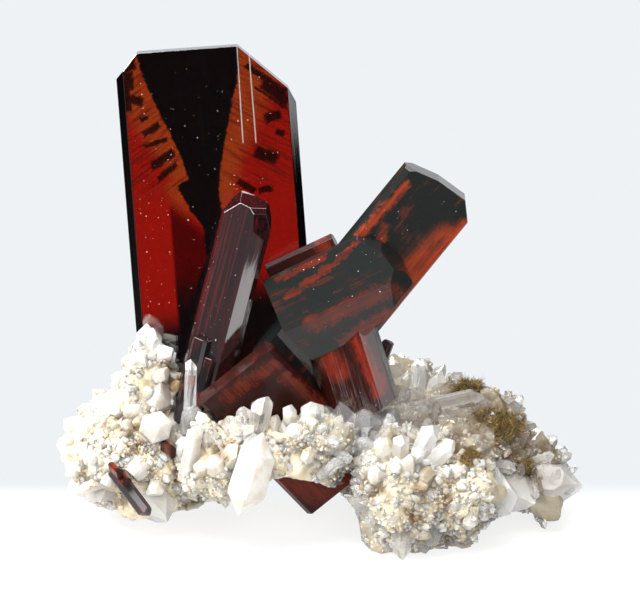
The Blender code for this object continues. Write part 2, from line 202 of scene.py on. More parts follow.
class Net:
    """Adds nodes to one tree and links them."""

    def __init__(self, tree: bpy.types.NodeTree) -> None:
        """Keeps the tree."""
        self.tree = tree

    def node(self, kind: str, inputs: dict | None = None, **settings) -> bpy.types.Node:
        """Adds a node.

        Args:
            kind: the node's type name without the ShaderNode prefix.
            inputs: socket name or number to a constant or to another node's output.
            settings: the node's own properties.

        Returns:
            The node.
        """
        made = self.tree.nodes.new("ShaderNode" + kind)
        for key, value in settings.items():
            setattr(made, key, value)
        for key, value in (inputs or {}).items():
            self.feed(made.inputs[key], value)
        return made

    def feed(self, socket: Socket, value) -> None:
        """Links an output to a socket, or sets the socket's own value."""
        if isinstance(value, Socket):
            self.tree.links.new(value, socket)
        else:
            socket.default_value = value

    def number(self, kind: str, first, second=0.0, third=0.0) -> Socket:
        """One arithmetic step on numbers."""
        return self.node("Math", {0: first, 1: second, 2: third}, operation=kind).outputs[0]

    def times(self, first, second, plus=None) -> Socket:
        """First times second, plus a third number if there is one."""
        if plus is None:
            return self.number("MULTIPLY", first, second)
        return self.number("MULTIPLY_ADD", first, second, plus)

    def minus(self, first, second) -> Socket:
        """First minus second."""
        return self.number("SUBTRACT", first, second)

    def most(self, first, second) -> Socket:
        """The larger of two numbers."""
        return self.number("MAXIMUM", first, second)

    def vector(self, kind: str, first, second, output: str = "Vector") -> Socket:
        """One arithmetic step on vectors. Its output Value is a number."""
        return self.node("VectorMath", {0: first, 1: second}, operation=kind).outputs[output]

    def stretched(self, vector, by: Triple) -> Socket:
        """A vector multiplied part by part."""
        return self.vector("MULTIPLY", vector, by)

    def step(self, value, low: float, high: float, start: float = 0.0, end: float = 1.0) -> Socket:
        """A smooth rise from start to end while value goes from low to high."""
        inputs = {0: value, 1: low, 2: high, 3: start, 4: end}
        return self.node("MapRange", inputs, interpolation_type="SMOOTHSTEP").outputs[0]

    def mix(self, share, first, second) -> Socket:
        """First colour where share is 0, second where it is 1."""
        return self.node("Mix", {0: share, 6: first, 7: second}, data_type="RGBA").outputs[2]

    def noise(self, vector, scale: float, detail: float, rough: float) -> Socket:
        """A cloudy value from 0 to 1."""
        inputs = {"Vector": vector, "Scale": scale, "Detail": detail, "Roughness": rough}
        return self.node("TexNoise", inputs).outputs[0]

    def long_noise(self, vector, by: Triple, detail: float, rough: float) -> Socket:
        """A cloudy value of a vector that is multiplied part by part first."""
        return self.noise(self.stretched(vector, by), 1.0, detail, rough)

    def stored(self, name: str, output: str = "Fac") -> Socket:
        """A value that is stored at the piece's corners."""
        return self.node("Attribute", attribute_name=name).outputs[output]

    def relief(self, shader: bpy.types.Node, height: Socket, depth: float) -> None:
        """Gives a shader a fine relief of a depth in mm."""
        bump = self.node("Bump", {"Strength": 1.0, "Distance": depth * MM, "Height": height})
        self.feed(shader.inputs["Normal"], bump.outputs[0])

    def round_stroke(self, place, stroke: "Stroke", soft: float) -> Socket:
        """The mask of one stroke with round ends, from the distance to its middle line's nearest place."""
        run = stroke.run
        off = self.vector("SUBTRACT", place, (stroke.start[0], 0.0, stroke.start[1]))
        along = self.vector("DOT_PRODUCT", off, run, "Value")
        reach = run[0] ** 2 + run[2] ** 2
        share = self.node("Math", {0: along, 1: 1.0 / reach}, operation="MULTIPLY", use_clamp=True).outputs[0]
        nearest = self.node("VectorMath", {0: run, "Scale": share}, operation="SCALE").outputs[0]
        apart = self.vector("DISTANCE", off, nearest, "Value")
        return self.step(apart, stroke.width * (1.0 - soft), stroke.width, 1.0, 0.0)

    def square_stroke(self, place, stroke: "Stroke", soft: float) -> Socket:
        """The mask of one stroke with square ends, from the distances along and across it."""
        run = stroke.run
        reach = math.hypot(run[0], run[2])
        middle = (stroke.start[0] + run[0] / 2, 0.0, stroke.start[1] + run[2] / 2)
        off = self.vector("SUBTRACT", place, middle)
        mask = 1.0
        for way, half in (
            ((run[0] / reach, 0.0, run[2] / reach), reach / 2 + stroke.width / 2),
            ((-run[2] / reach, 0.0, run[0] / reach), stroke.width),
        ):
            far = self.number("ABSOLUTE", self.vector("DOT_PRODUCT", off, way, "Value"))
            mask = self.times(mask, self.step(far, half - stroke.width * soft, half, 1.0, 0.0))
        return mask

    def marks(self, place, strokes: tuple, soft: float, square: bool = False) -> Socket:
        """1 on the strokes and 0 off them.

        Args:
            place: across the face in x and along it in z.
            strokes: the strokes.
            soft: share of the width over which a stroke fades.
            square: whether the strokes have square ends.

        Returns:
            The mask.
        """
        one = self.square_stroke if square else self.round_stroke
        return reduce(self.most, (one(place, stroke, soft) for stroke in strokes))

    def curve(self, value, knots: list[Pair]) -> Socket:
        """A curve through knots, each from 0 to 1 both ways."""
        made = self.node("FloatCurve", {1: value})
        line = made.mapping.curves[0]
        line.points[0].location = knots[0]
        line.points[1].location = knots[-1]
        for knot in knots[1:-1]:
            line.points.new(*knot)
        for point in line.points:
            point.handle_type = "VECTOR"
        made.mapping.update()
        return made.outputs[0]


@dataclass(frozen=True)
class Stroke:
    """A mark on a crystal from start to end, each across the face and along it, with its half width."""

    start: Pair
    end: Pair
    width: float

    @property
    def run(self) -> Triple:
        """Start to end, in the crystal's own axes."""
        return (self.end[0] - self.start[0], 0.0, self.end[1] - self.start[1])


def strokes_from(*rows: tuple[float, ...]) -> tuple[Stroke, ...]:
    """Strokes from rows of start, end and half width."""
    return tuple(Stroke(row[:2], row[2:4], row[4]) for row in rows)


class Effect:
    """A node group with outputs only, which several materials can share."""

    def __init__(self, name: str, outputs: dict[str, str]) -> None:
        """Makes the group.

        Args:
            name: the group's name.
            outputs: output name to its socket kind, Float, Color or Vector.
        """
        self.tree = bpy.data.node_groups.new(name, "ShaderNodeTree")
        for label, kind in outputs.items():
            self.tree.interface.new_socket(name=label, in_out="OUTPUT", socket_type="NodeSocket" + kind)
        self.net = Net(self.tree)
        self.end = self.tree.nodes.new("NodeGroupOutput")

    def out(self, label: str, socket: Socket) -> None:
        """Links a result to one output."""
        self.tree.links.new(socket, self.end.inputs[label])

    def used_in(self, net: Net) -> bpy.types.Node:
        """Puts the group into a material."""
        made = net.tree.nodes.new("ShaderNodeGroup")
        made.node_tree = self.tree
        return made


@dataclass(frozen=True)
class Surface:
    """Plain values of a material's shader. Light goes about 1 mm deep where subsurface is used."""

    name: str
    colour: Colour
    roughness: float
    ior: float = 1.5
    transmission: float = 0.0
    specular: float = 0.5
    subsurface: float = 0.0

    def make(self) -> tuple[Material, Net, bpy.types.Node]:
        """The material, its node net and its shader."""
        made = bpy.data.materials.new(self.name)
        made.use_nodes = True
        shader = made.node_tree.nodes["Principled BSDF"]
        values = {
            "Base Color": self.colour,
            "Roughness": self.roughness,
            "IOR": self.ior,
            "Transmission Weight": self.transmission,
            "Specular IOR Level": self.specular,
        }
        if self.subsurface:
            values["Subsurface Weight"] = self.subsurface
            values["Subsurface Scale"] = 1.0 * MM
            values["Subsurface Radius"] = (1.0, 0.95, 0.85)
        for name, value in values.items():
            shader.inputs[name].default_value = value
        return made, Net(made.node_tree), shader


def grey(level: float) -> Colour:
    """A neutral colour."""
    return (level, level, level, 1.0)


BLACK_BROOKITE = (0.006, 0.003, 0.003, 1.0)


def growth_lines() -> Effect:
    """Fine lines along a crystal's length: cloudy noise squeezed across the length and drawn out along it."""
    made = Effect("growth_lines", {"Fine": "Float"})
    place = made.net.stored("crystal", "Vector")
    made.out("Fine", made.net.long_noise(place, (14.0, 14.0, 0.10), 2.0, 0.7))
    return made


@dataclass(frozen=True)
class Crystal:
    """The sockets that every brookite effect starts from."""

    made: Effect
    net: Net
    place: Socket
    parts: bpy.types.bpy_prop_collection
    ragged: Socket
    lines: Socket
    clouds: Socket


def crystal_effect(name: str, wobble: float) -> Crystal:
    """Starts an effect in a crystal's own axes.

    Args:
        name: the group's name.
        wobble: how far ragged places stray from the true ones, in mm.

    Returns:
        Its sockets: ragged is the place moved by noise, lines and clouds are noises drawn out lengthwise.
    """
    made = Effect(name, {"Color": "Color"})
    net = made.net
    place = net.stored("crystal", "Vector")
    stray = net.node("TexNoise", {"Vector": place, "Scale": 2.2, "Detail": 4.0, "Roughness": 0.7}).outputs[1]
    centred = net.vector("SUBTRACT", stray, (0.5, 0.5, 0.5))
    spread = {0: centred, 1: (wobble, 0.0, wobble), 2: net.stretched(place, (1.0, 0.0, 1.0))}
    ragged = net.node("VectorMath", spread, operation="MULTIPLY_ADD").outputs[0]
    parts = net.node("SeparateXYZ", {0: place}).outputs
    lines = net.long_noise(place, (7.0, 7.0, 0.12), 2.0, 0.6)
    clouds = net.long_noise(place, (0.8, 0.8, 0.35), 4.0, 0.65)
    return Crystal(made, net, place, parts, ragged, lines, clouds)


def hourglass() -> Effect:
    """The tall blade's zones: a black hourglass between orange and red flanks, seen through the broad face.

    The borders of the black zone are curves of the height. Both flanks are orange above a slanting line and
    red below it, and dark strokes cross the orange. Two white scratches run down the right flank.
    """
    crystal = crystal_effect("hourglass", 0.6)
    net, place, parts = crystal.net, crystal.place, crystal.parts
    height = net.times(parts["Z"], -1.0 / BORDER_DEPTH)
    feather = net.long_noise(place, (0.9, 0.0, 6.0), 3.0, 0.6)
    ragged = net.times(net.minus(feather, 0.5), 0.6, parts["X"])
    across = net.times(ragged, 1.0 / BORDER_BREADTH, 0.5)
    left, right = (
        net.curve(height, [(depth / BORDER_DEPTH, x / BORDER_BREADTH + 0.5) for depth, x in border])
        for border in (LEFT_BORDER, RIGHT_BORDER)
    )
    beyond_left = net.step(net.minus(across, left), -0.006, 0.006)
    beyond_right = net.step(net.minus(right, across), -0.006, 0.006)
    black = net.times(beyond_left, beyond_right)

    off_border = net.most(net.minus(left, across), net.minus(across, right))
    slope = net.times(parts["Z"], -0.24, net.times(off_border, BORDER_BREADTH))
    redness = net.step(net.times(crystal.clouds, 2.4, slope), 4.0, 5.6)
    low = net.step(parts["Z"], -13.4, -10.4, 1.0, 0.0)
    redness = net.most(low, redness)
    glow = net.mix(redness, (0.44, 0.056, 0.010, 1.0), (0.42, 0.009, 0.004, 1.0))

    sideways = net.number("ABSOLUTE", net.minus(parts["X"], -0.4))
    slant = net.times(sideways, 0.62, parts["Z"])
    slanting = net.node("CombineXYZ", {0: net.times(sideways, 0.30), 2: slant}).outputs[0]
    fine = net.long_noise(slanting, (1.0, 1.0, 5.0), 3.0, 0.65)
    fine = net.times(net.step(fine, 0.46, 0.64), net.step(parts["Z"], -12.0, -9.5))
    glow = net.mix(net.times(fine, 0.85), glow, (0.15, 0.010, 0.005, 1.0))
    strokes = net.marks(crystal.ragged, BLADE_STROKES, 0.5, square=True)
    glow = net.mix(net.times(strokes, 0.95), glow, (0.010, 0.003, 0.002, 1.0))

    upright = net.times(net.step(crystal.lines, 0.52, 0.70), 0.35)
    glow = net.mix(upright, glow, (0.22, 0.006, 0.004, 1.0))
    sector = net.step(parts["X"], -3.5, -3.2)
    roof = net.times(parts["X"], 0.9, parts["Z"])
    deep = net.times(sector, net.step(roof, -15.4, -13.6, 1.0, 0.0))
    deep = net.times(deep, net.step(parts["X"], 0.6, 1.4, 1.0, 0.0))
    glow = net.mix(net.times(deep, 0.93), glow, (0.075, 0.001, 0.001, 1.0))
    foot = net.times(crystal.clouds, 5.0, parts["Z"])
    foot = net.times(net.step(foot, -17.2, -13.6, 1.0, 0.0), sector)
    bottom = net.step(parts["Z"], -21.5, -19.0, 1.0, 0.0)
    rim = net.step(net.number("ABSOLUTE", parts["X"]), 6.0, 6.1)
    for other in (foot, bottom, rim):
        black = net.most(black, other)
    faint = net.times(net.step(crystal.lines, 0.58, 0.74), 0.5)
    colour = net.mix(black, glow, net.mix(faint, BLACK_BROOKITE, (0.022, 0.021, 0.022, 1.0)))
    scratch = net.marks(net.stretched(place, (1.0, 0.0, 1.0)), BLADE_SCRATCHES, 0.5)
    crystal.made.out("Color", net.mix(net.times(scratch, 0.85), colour, (0.95, 0.90, 0.88, 1.0)))
    return crystal.made


# The black hourglass: depth below the tip and place across the blade, and the reach of both ways.
LEFT_BORDER = (
    (0.0, -5.0), (1.8, -4.6), (3.5, -4.0), (5.3, -3.3), (6.6, -2.75), (8.0, -2.2), (9.7, -1.8),
    (10.1, -2.7), (12.0, -1.85), (13.3, -1.0), (15.8, -0.9), (17.6, -1.8), (21.0, -2.6), (24.0, -3.0),
)
RIGHT_BORDER = (
    (0.0, 2.55), (1.2, 2.6), (2.9, 2.3), (3.8, 1.95), (5.3, 1.6), (7.5, 1.0), (8.8, 0.7), (10.6, 0.4),
    (12.5, 0.5), (15.0, 1.2), (18.0, 2.2), (24.0, 3.5),
)
BORDER_DEPTH = 24.0
BORDER_BREADTH = 14.0

# Dark blocks and rungs in the tall blade's orange zones, and its scratches.
BLADE_STROKES = strokes_from(
    (-5.9, -1.0, -5.2, -0.8, 0.55), (-5.7, -1.4, -5.7, -2.6, 0.50), (-5.9, -2.6, -5.9, -4.2, 0.36),
    (-5.6, -3.4, -4.8, -3.7, 0.44), (-5.0, -5.0, -4.5, -4.9, 0.24), (-4.9, -6.1, -3.7, -5.5, 0.32),
    (-4.9, -7.0, -3.2, -6.6, 0.22), (-4.4, -8.5, -2.8, -7.6, 0.42), (-4.0, -9.5, -2.6, -8.5, 0.28),
    (3.1, -1.5, 5.9, -3.7, 0.30), (4.3, -3.0, 5.9, -4.4, 0.55), (3.7, -3.2, 5.9, -5.0, 0.12),
    (4.3, -5.6, 5.3, -5.3, 0.48), (5.0, -6.6, 5.5, -6.8, 0.30), (3.4, -8.0, 4.8, -8.6, 0.62),
    (1.9, -10.1, 3.0, -10.9, 0.34), (3.4, -10.9, 4.3, -10.8, 0.32),
)
BLADE_SCRATCHES = strokes_from((2.55, 0.1, 2.46, -7.24, 0.055), (3.40, -0.4, 3.42, -7.3, 0.055))


def maroon_lines() -> Effect:
    """The front prism: dark, with fine red lines along its length that fade to the foot."""
    crystal = crystal_effect("maroon_lines", 0.2)
    net = crystal.net
    lines = net.long_noise(crystal.place, (4.5, 4.5, 0.05), 4.0, 0.75)
    seen = net.times(net.step(lines, 0.46, 0.68), net.step(crystal.clouds, 0.25, 0.5, 0.2, 0.8))
    seen = net.times(seen, net.step(crystal.parts["Z"], -15.0, -7.0, 0.15, 1.0))
    dark = (0.014, 0.006, 0.007, 1.0)
    crystal.made.out("Color", net.mix(seen, dark, (0.15, 0.014, 0.016, 1.0)))
    return crystal.made


def streaked(name: str, dark: tuple, warm: tuple, strokes: tuple, wobble: float) -> Effect:
    """A dark prism with warm strokes, each broken up by lines along the length and by clouds.

    Args:
        name: the group's name.
        dark: colour between the strokes.
        warm: colour of the strokes.
        strokes: where the light comes through.
        wobble: raggedness in mm.

    Returns:
        The effect.
    """
    crystal = crystal_effect(name, wobble)
    net = crystal.net
    mask = net.marks(crystal.ragged, strokes, 0.75)
    broken = net.step(net.times(crystal.lines, 0.7, crystal.clouds), 0.62, 1.0, 0.25, 1.0)
    faint = net.step(net.times(crystal.lines, 0.5, crystal.clouds), 0.78, 0.95, 0.0, 0.30)
    share = net.most(net.times(mask, broken), faint)
    crystal.made.out("Color", net.mix(share, dark, warm))
    return crystal.made


# Near-black lifted to grey-green: the crystals' dark colour with a painted grey sheen, which stands in for
# the reflection that their low IOR gives up.
BLACK_AND_PAINTED_SHEEN = (0.018, 0.021, 0.020, 1.0)


class BrookiteLook(Enum):
    """How a brookite crystal is coloured."""

    HOURGLASS = "hourglass"
    MAROON = "maroon"
    UPPER = "upper"
    CROSSING = "crossing"
    STUB = "stub"
    PLATE = "plate"
    DARK = "dark"


# Group name, dark colour, warm colour, warm strokes, and their raggedness in mm.
STREAKS = {
    # Grey-black with painted grey sheen, an orange wedge along its lower side and a thin streak along its
    # upper side.
    BrookiteLook.UPPER: (
        "upper_zones",
        BLACK_AND_PAINTED_SHEEN,
        (0.44, 0.060, 0.020, 1.0),
        strokes_from(
            (3.3, -1.5, 2.9, -4.5, 0.9), (2.9, -3.4, 1.9, -9.5, 1.9), (3.0, -6.0, 2.6, -10.5, 1.3),
            (-2.4, -1.6, -2.7, -7.0, 0.45), (-1.6, -5.2, -1.2, -6.2, 0.55),
        ),
        0.8,
    ),
    # Grey-black with painted grey sheen, with red streaks on its upper face and a brown-orange band under its
    # ridge.
    BrookiteLook.CROSSING: (
        "crossing_zones",
        BLACK_AND_PAINTED_SHEEN,
        (0.17, 0.026, 0.014, 1.0),
        strokes_from(
            (1.6, -1.2, 1.5, -7.8, 0.75), (2.8, -2.5, 3.2, -6.5, 0.55), (-1.1, -8.6, -1.9, -4.4, 0.38),
            (-2.7, -8.8, -2.6, -5.0, 0.36), (-2.6, -2.3, -2.0, -4.2, 0.30),
        ),
        1.2,
    ),
    # Dark red, glowing in blots.
    BrookiteLook.STUB: (
        "stub_zones",
        (0.040, 0.008, 0.006, 1.0),
        (0.34, 0.030, 0.014, 1.0),
        strokes_from(
            (1.3, -6.4, 0.6, -4.8, 1.3), (-1.6, -6.6, -1.9, -2.6, 0.8), (-1.9, -2.9, -1.7, -2.4, 0.7),
        ),
        1.2,
    ),
    # Dark red with brown-red clouds.
    BrookiteLook.PLATE: (
        "plate_zones",
        (0.030, 0.007, 0.005, 1.0),
        (0.19, 0.026, 0.011, 1.0),
        strokes_from(
            (-1.5, -0.8, 2.5, -1.2, 0.9), (2.6, -2.6, 3.1, -6.5, 0.8), (-2.0, -9.0, 1.0, -14.0, 3.0),
        ),
        1.6,
    ),
    # Small crystals: nearly black, with a little red in the clouds.
    BrookiteLook.DARK: (
        "dark_zones",
        (0.014, 0.011, 0.012, 1.0),
        (0.20, 0.014, 0.010, 1.0),
        strokes_from(
            (0, -3, 0, -4, 0.4),
        ),
        1.0,
    ),
}


def zones_of(look: BrookiteLook) -> Effect:
    """The coloured zones of a look."""
    if look is BrookiteLook.HOURGLASS:
        return hourglass()
    if look is BrookiteLook.MAROON:
        return maroon_lines()
    return streaked(*STREAKS[look])


@dataclass(frozen=True)
class BrookiteFinish:
    """Adamantine brookite: a high-index clear red crystal, coloured in zones."""

    name: str
    look: BrookiteLook
    transmission: float
    ior: float = 2.6
    roughness: float = 0.03
    line_height: float = 0.004

    def make(self, lines: Effect) -> Material:
        """Builds the material, with the shared growth lines."""
        surface = Surface(self.name, BLACK_BROOKITE, self.roughness, self.ior, self.transmission)
        made, net, shader = surface.make()
        net.feed(shader.inputs["Base Color"], zones_of(self.look).used_in(net).outputs[0])
        net.relief(shader, lines.used_in(net).outputs["Fine"], self.line_height)
        return made


def stains() -> Effect:
    """Patches for ochre stains and painted crevice shade on the quartz, its cloudiness and its pits: three
    cloudy values of the place.
    """
    made = Effect("stains", {"Patches": "Float", "Cloud": "Float", "Pits": "Float"})
    net = made.net
    place = net.node("TexCoord").outputs["Object"]
    patch = net.noise(place, 260.0, 3.0, 0.6)
    made.out("Patches", net.step(patch, 0.60, 0.72))
    made.out("Cloud", net.noise(place, 900.0, 2.0, 0.6))
    made.out("Pits", net.noise(place, 3600.0, 4.0, 0.75))
    return made


@dataclass(frozen=True)
class QuartzFinish:
    """Quartz, milky or clear, with its own tone per crystal, which also carries painted shade at crystal feet
    and on the rock under clear quartz.
    """

    name: str
    pale: Colour = (0.90, 0.885, 0.84, 1.0)
    dull: Colour = (0.64, 0.53, 0.35, 1.0)
    ochre: Colour = (0.30, 0.17, 0.055, 1.0)
    transmission: float = 0.3
    roughness: float = 0.25
    pit_height: float = 0.01
    subsurface: float = 0.0
    stained: float = 0.3

    def make(self, marks: Effect) -> Material:
        """Builds the material, with the shared patch noises of stains and painted shade."""
        surface = Surface(
            self.name, self.pale, self.roughness, 1.544, self.transmission, subsurface=self.subsurface
        )
        made, net, shader = surface.make()
        grown = marks.used_in(net).outputs
        cloudy = net.step(grown["Cloud"], 0.34, 0.58, 0.6, 1.0)
        body = net.mix(net.times(net.stored("tone"), cloudy), self.dull, self.pale)
        # Ochre where the patch noise meets the stored stains, which are partly painted shade in crevices.
        share = net.times(grown["Patches"], self.stained, net.stored("stain"))
        net.feed(shader.inputs["Base Color"], net.mix(share, body, self.ochre))
        net.relief(shader, grown["Pits"], self.pit_height)
        return made


QUARTZ_FINISHES = (
    # The rock shows in the crevices between crystals; its dark ochre carries stains and painted crevice
    # shade.
    QuartzFinish(
        "quartz_rock",
        pale=(0.76, 0.66, 0.47, 1.0),
        dull=(0.23, 0.20, 0.145, 1.0),
        ochre=(0.085, 0.052, 0.018, 1.0),
        transmission=0.0,
        roughness=0.6,
        pit_height=0.05,
        stained=0.85,
    ),
    QuartzFinish("milky_quartz", transmission=0.22, roughness=0.32, pit_height=0.14, subsurface=0.8),
    QuartzFinish(
        "clear_quartz",
        pale=(0.97, 0.97, 0.96, 1.0),
        dull=(0.80, 0.79, 0.76, 1.0),
        transmission=0.85,
        roughness=0.04,
        pit_height=0.006,
    ),
    QuartzFinish(
        "cloudy_quartz",
        pale=(0.98, 0.98, 0.97, 1.0),
        dull=(0.90, 0.89, 0.85, 1.0),
        transmission=0.62,
        roughness=0.12,
        pit_height=0.06,
        stained=0.1,
    ),
    QuartzFinish(
        "sugary_quartz",
        pale=(0.90, 0.88, 0.82, 1.0),
        dull=(0.60, 0.48, 0.30, 1.0),
        transmission=0.06,
        roughness=0.5,
        pit_height=0.05,
    ),
    QuartzFinish(
        "brown_fibre", (0.52, 0.34, 0.10, 1.0), (0.03, 0.018, 0.006, 1.0), transmission=0.0, roughness=0.8
    ),
)


# Brookite


BROAD_SIDE = 1.4


def even_edges(over_face: float, over_side: float) -> tuple:
    """The same bevel on all four long edges."""
    return tuple((x, y, over_face, over_side) for x in (-1, 1) for y in (-1, 1))


@dataclass(frozen=True)
class Prism:
    """A tabular brookite prism from foot to tip, with broad faces to -Y and +Y before it turns.

    edges gives, for each bevelled long edge, (x side, y side, run over the broad face, run over the side).
    ends are faces that cut the prism, each a normal and a point counted from the tip's middle. lines is the
    width of one growth line and relief the depth of its step.
    """

    name: str
    foot: Triple
    tip: Triple
    breadth: float
    thickness: float
    edges: tuple
    turn: float = 0.0
    ends: tuple = ()
    lines: float = 0.25
    relief: float = 0.012

    @property
    def length(self) -> float:
        """Foot to tip."""
        return float(np.linalg.norm(np.subtract(self.tip, self.foot)))

    @property
    def swing(self) -> Array:
        """The turn about the length, as a matrix for columns."""
        sine, cosine = math.sin(math.radians(self.turn)), math.cos(math.radians(self.turn))
        return np.array([[cosine, -sine, 0], [sine, cosine, 0], [0, 0, 1.0]])

    def corners(self) -> Array:
        """The cross-section's eight corners, anticlockwise seen from the tip."""
        half_x, half_y = self.breadth / 2, self.thickness / 2
        runs = {(x, y): (face, side) for x, y, face, side in self.edges}
        ring = []
        for x, y in ((-1, -1), (1, -1), (1, 1), (-1, 1)):
            face, side = runs[x, y]
            on_side = (x * half_x, y * (half_y - side))
            on_face = (x * (half_x - face), y * half_y)
            ring += [on_side, on_face] if x == y else [on_face, on_side]
        return np.array(ring)

    def section(self, rng: np.random.Generator) -> Array:
        """The cross-section with its growth lines.

        Each side is cut into lines of uneven width, and every inner point steps inwards by a random share of
        the relief. Narrow sides are nearly smooth.
        """
        ring = self.corners()
        parts = []
        for start, end in zip(ring, np.roll(ring, -1, axis=0)):
            run = end - start
            reach = float(np.hypot(*run))
            count = max(1, round(reach / self.lines))
            share = (np.arange(count) + np.append(0.0, rng.uniform(-0.35, 0.35, count - 1))) / count
            inward = np.array([-run[1], run[0]]) / reach
            relief = self.relief if reach > BROAD_SIDE else 0.15 * self.relief
            depth = np.append(0.0, rng.uniform(0.0, relief, count - 1))
            parts.append(start + share[:, None] * run + depth[:, None] * inward)
        return np.concatenate(parts)


class Brookite:
    """One brookite crystal: the cross-section drawn out from foot to tip, and cut by its end faces."""

    edge_width = 0.035

    def __init__(self, prism: Prism, seed: int) -> None:
        """Keeps the sizes and the seed of the growth lines."""
        self.prism = prism
        self.rng = np.random.default_rng(seed)

    def drawn_out(self) -> bmesh.types.BMesh:
        """The uncut prism in its own axes, in mm."""
        ring = self.prism.section(self.rng)
        count = len(ring)
        low = np.column_stack([ring, np.full(count, -self.prism.length)])
        high = np.column_stack([ring, np.zeros(count)])
        here = np.arange(count)
        ahead = np.roll(here, -1)
        sides = np.stack([here, ahead, ahead + count, here + count], axis=1).tolist()
        mesh = bpy.data.meshes.new("drawn_out")
        caps = [here[::-1].tolist(), (here + count).tolist()]
        mesh.from_pydata(np.concatenate([low, high]).tolist(), [], sides + caps)
        made = bmesh.new()
        made.from_mesh(mesh)
        bpy.data.meshes.remove(mesh)
        return made

    def build(self, finish: Material) -> Object:
        """Builds the crystal in place, with a finish."""
        prism = self.prism
        swing = prism.swing
        solid = self.drawn_out()
        for normal, point in prism.ends:
            own_normal = swing.T @ unit(np.array(normal, float))
            own_point = swing.T @ np.array(point, float)
            everything = solid.verts[:] + solid.edges[:] + solid.faces[:]
            bmesh.ops.bisect_plane(
                solid, geom=everything, plane_co=own_point, plane_no=own_normal, clear_outer=True
            )
            rim = [edge for edge in solid.edges if edge.is_boundary]
            bmesh.ops.holes_fill(solid, edges=rim)
        bmesh.ops.recalc_face_normals(solid, faces=solid.faces)
        mesh = bpy.data.meshes.new("cut")
        solid.to_mesh(mesh)
        solid.free()
        own = np.empty(len(mesh.vertices) * 3, dtype=np.float32)
        mesh.vertices.foreach_get("co", own)
        own = own.reshape(-1, 3)
        faces = [list(face.vertices) for face in mesh.polygons]
        bpy.data.meshes.remove(mesh)
        placed = own @ swing.T @ standing_axes(prism.foot, prism.tip) + np.array(prism.tip)
        piece = new_piece(prism.name, placed, faces, finish)
        add_values(piece, crystal=own)
        bevel = piece.modifiers.new("worn_edges", "BEVEL")
        bevel.width = self.edge_width * MM
        bevel.segments = 1
        bevel.limit_method = "ANGLE"
        bevel.angle_limit = math.radians(24.0)
        bevel.use_clamp_overlap = True
        return piece


TALL_BLADE = Prism(
    name="tall_blade_crystal",
    foot=(-6.6, 1.9, 7.2),
    tip=(-8.7, 5.2, 35.5),
    breadth=13.2,
    thickness=1.7,
    edges=even_edges(0.55, 0.7),
    ends=(
        ((-0.74, 0.0, 0.67), (-4.9, 0.0, 0.0)),
        ((0.69, 0.0, 0.72), (2.55, 0.0, 0.0)),
        ((0.92, 0.0, 0.40), (6.05, 0.0, -3.3)),
    ),
    lines=0.5,
    relief=0.002,
)
FRONT_PRISM = Prism(
    name="front_prism_crystal",
    foot=(-9.4, -1.4, 7.8),
    tip=(-4.95, -2.1, 25.7),
    breadth=3.75,
    thickness=2.1,
    edges=((1, -1, 0.65, 0.75), (-1, -1, 0.4, 0.4), (1, 1, 0.5, 0.6), (-1, 1, 0.5, 0.6)),
    turn=-30.0,
    ends=(
        ((-0.79, -0.10, 0.61), (-0.75, 0.0, -0.05)),
        ((0.30, -0.10, 0.95), (0.55, 0.0, 0.0)),
        ((0.88, -0.20, 0.42), (1.2, 0.0, -0.2)),
        ((0.25, -0.66, 0.70), (0.1, -0.7, 0.0)),
        ((0.42, -0.89, 0.18), (0.7, -1.3, -1.25)),
        ((0.0, -0.16, 0.99), (0.0, 0.9, -0.03)),
    ),
    lines=0.16,
    relief=0.012,
)
ROOTLETS = (
    Prism("rootlet_long", (-10.3, -2.1, 8.6), (-8.7, -2.4, 15.2), 1.3, 1.0, even_edges(0.3, 0.25), -30.0),
    Prism("rootlet_short", (-9.4, -2.6, 8.6), (-8.1, -2.8, 13.8), 0.9, 0.8, even_edges(0.2, 0.2), -20.0),
)
UPPER_BLADE = Prism(
    name="upper_blade",
    foot=(-2.5, -0.7, 12.0),
    tip=(9.1, -0.7, 26.7),
    breadth=6.4,
    thickness=2.1,
    edges=((-1, -1, 0.35, 0.45), (1, -1, 0.12, 0.15), (-1, 1, 0.7, 0.8), (1, 1, 0.7, 0.8)),
    turn=9.0,
    ends=(
        ((-0.21, 0.0, 0.98), (1.6, 0.0, 0.45)),
        ((0.71, 0.0, 0.70), (1.6, 0.0, 0.45)),
        ((-0.50, -0.45, 0.74), (-2.9, -1.0, -0.55)),
    ),
    lines=0.3,
    relief=0.004,
)
CROSSING_PRISM = Prism(
    name="crossing_prism",
    foot=(-2.7, -2.9, 16.5),
    tip=(6.1, -3.1, 20.9),
    breadth=6.6,
    thickness=3.3,
    edges=((1, -1, 2.0, 2.5), (-1, -1, 0.45, 0.5), (1, 1, 0.8, 0.7), (-1, 1, 0.9, 0.8)),
    turn=-33.0,
    ends=(
        ((-0.33, -0.12, 0.94), (0.35, 0.0, 0.0)),
        ((-0.73, -0.18, 0.67), (-2.3, 0.0, -1.2)),
        ((0.44, -0.50, 0.75), (0.35, -0.3, 0.0)),
        ((0.93, -0.10, 0.36), (2.2, 0.0, -1.4)),
        ((0.24, 0.0, -0.97), (0.2, 0.0, -9.84)),
    ),
    lines=0.3,
    relief=0.005,
)
PARALLEL_PRISM = Prism(
    "parallel_prism", (-3.5, 0.2, 18.9), (1.4, 0.1, 21.3), 2.6, 1.7, even_edges(0.4, 0.4), -20.0
)
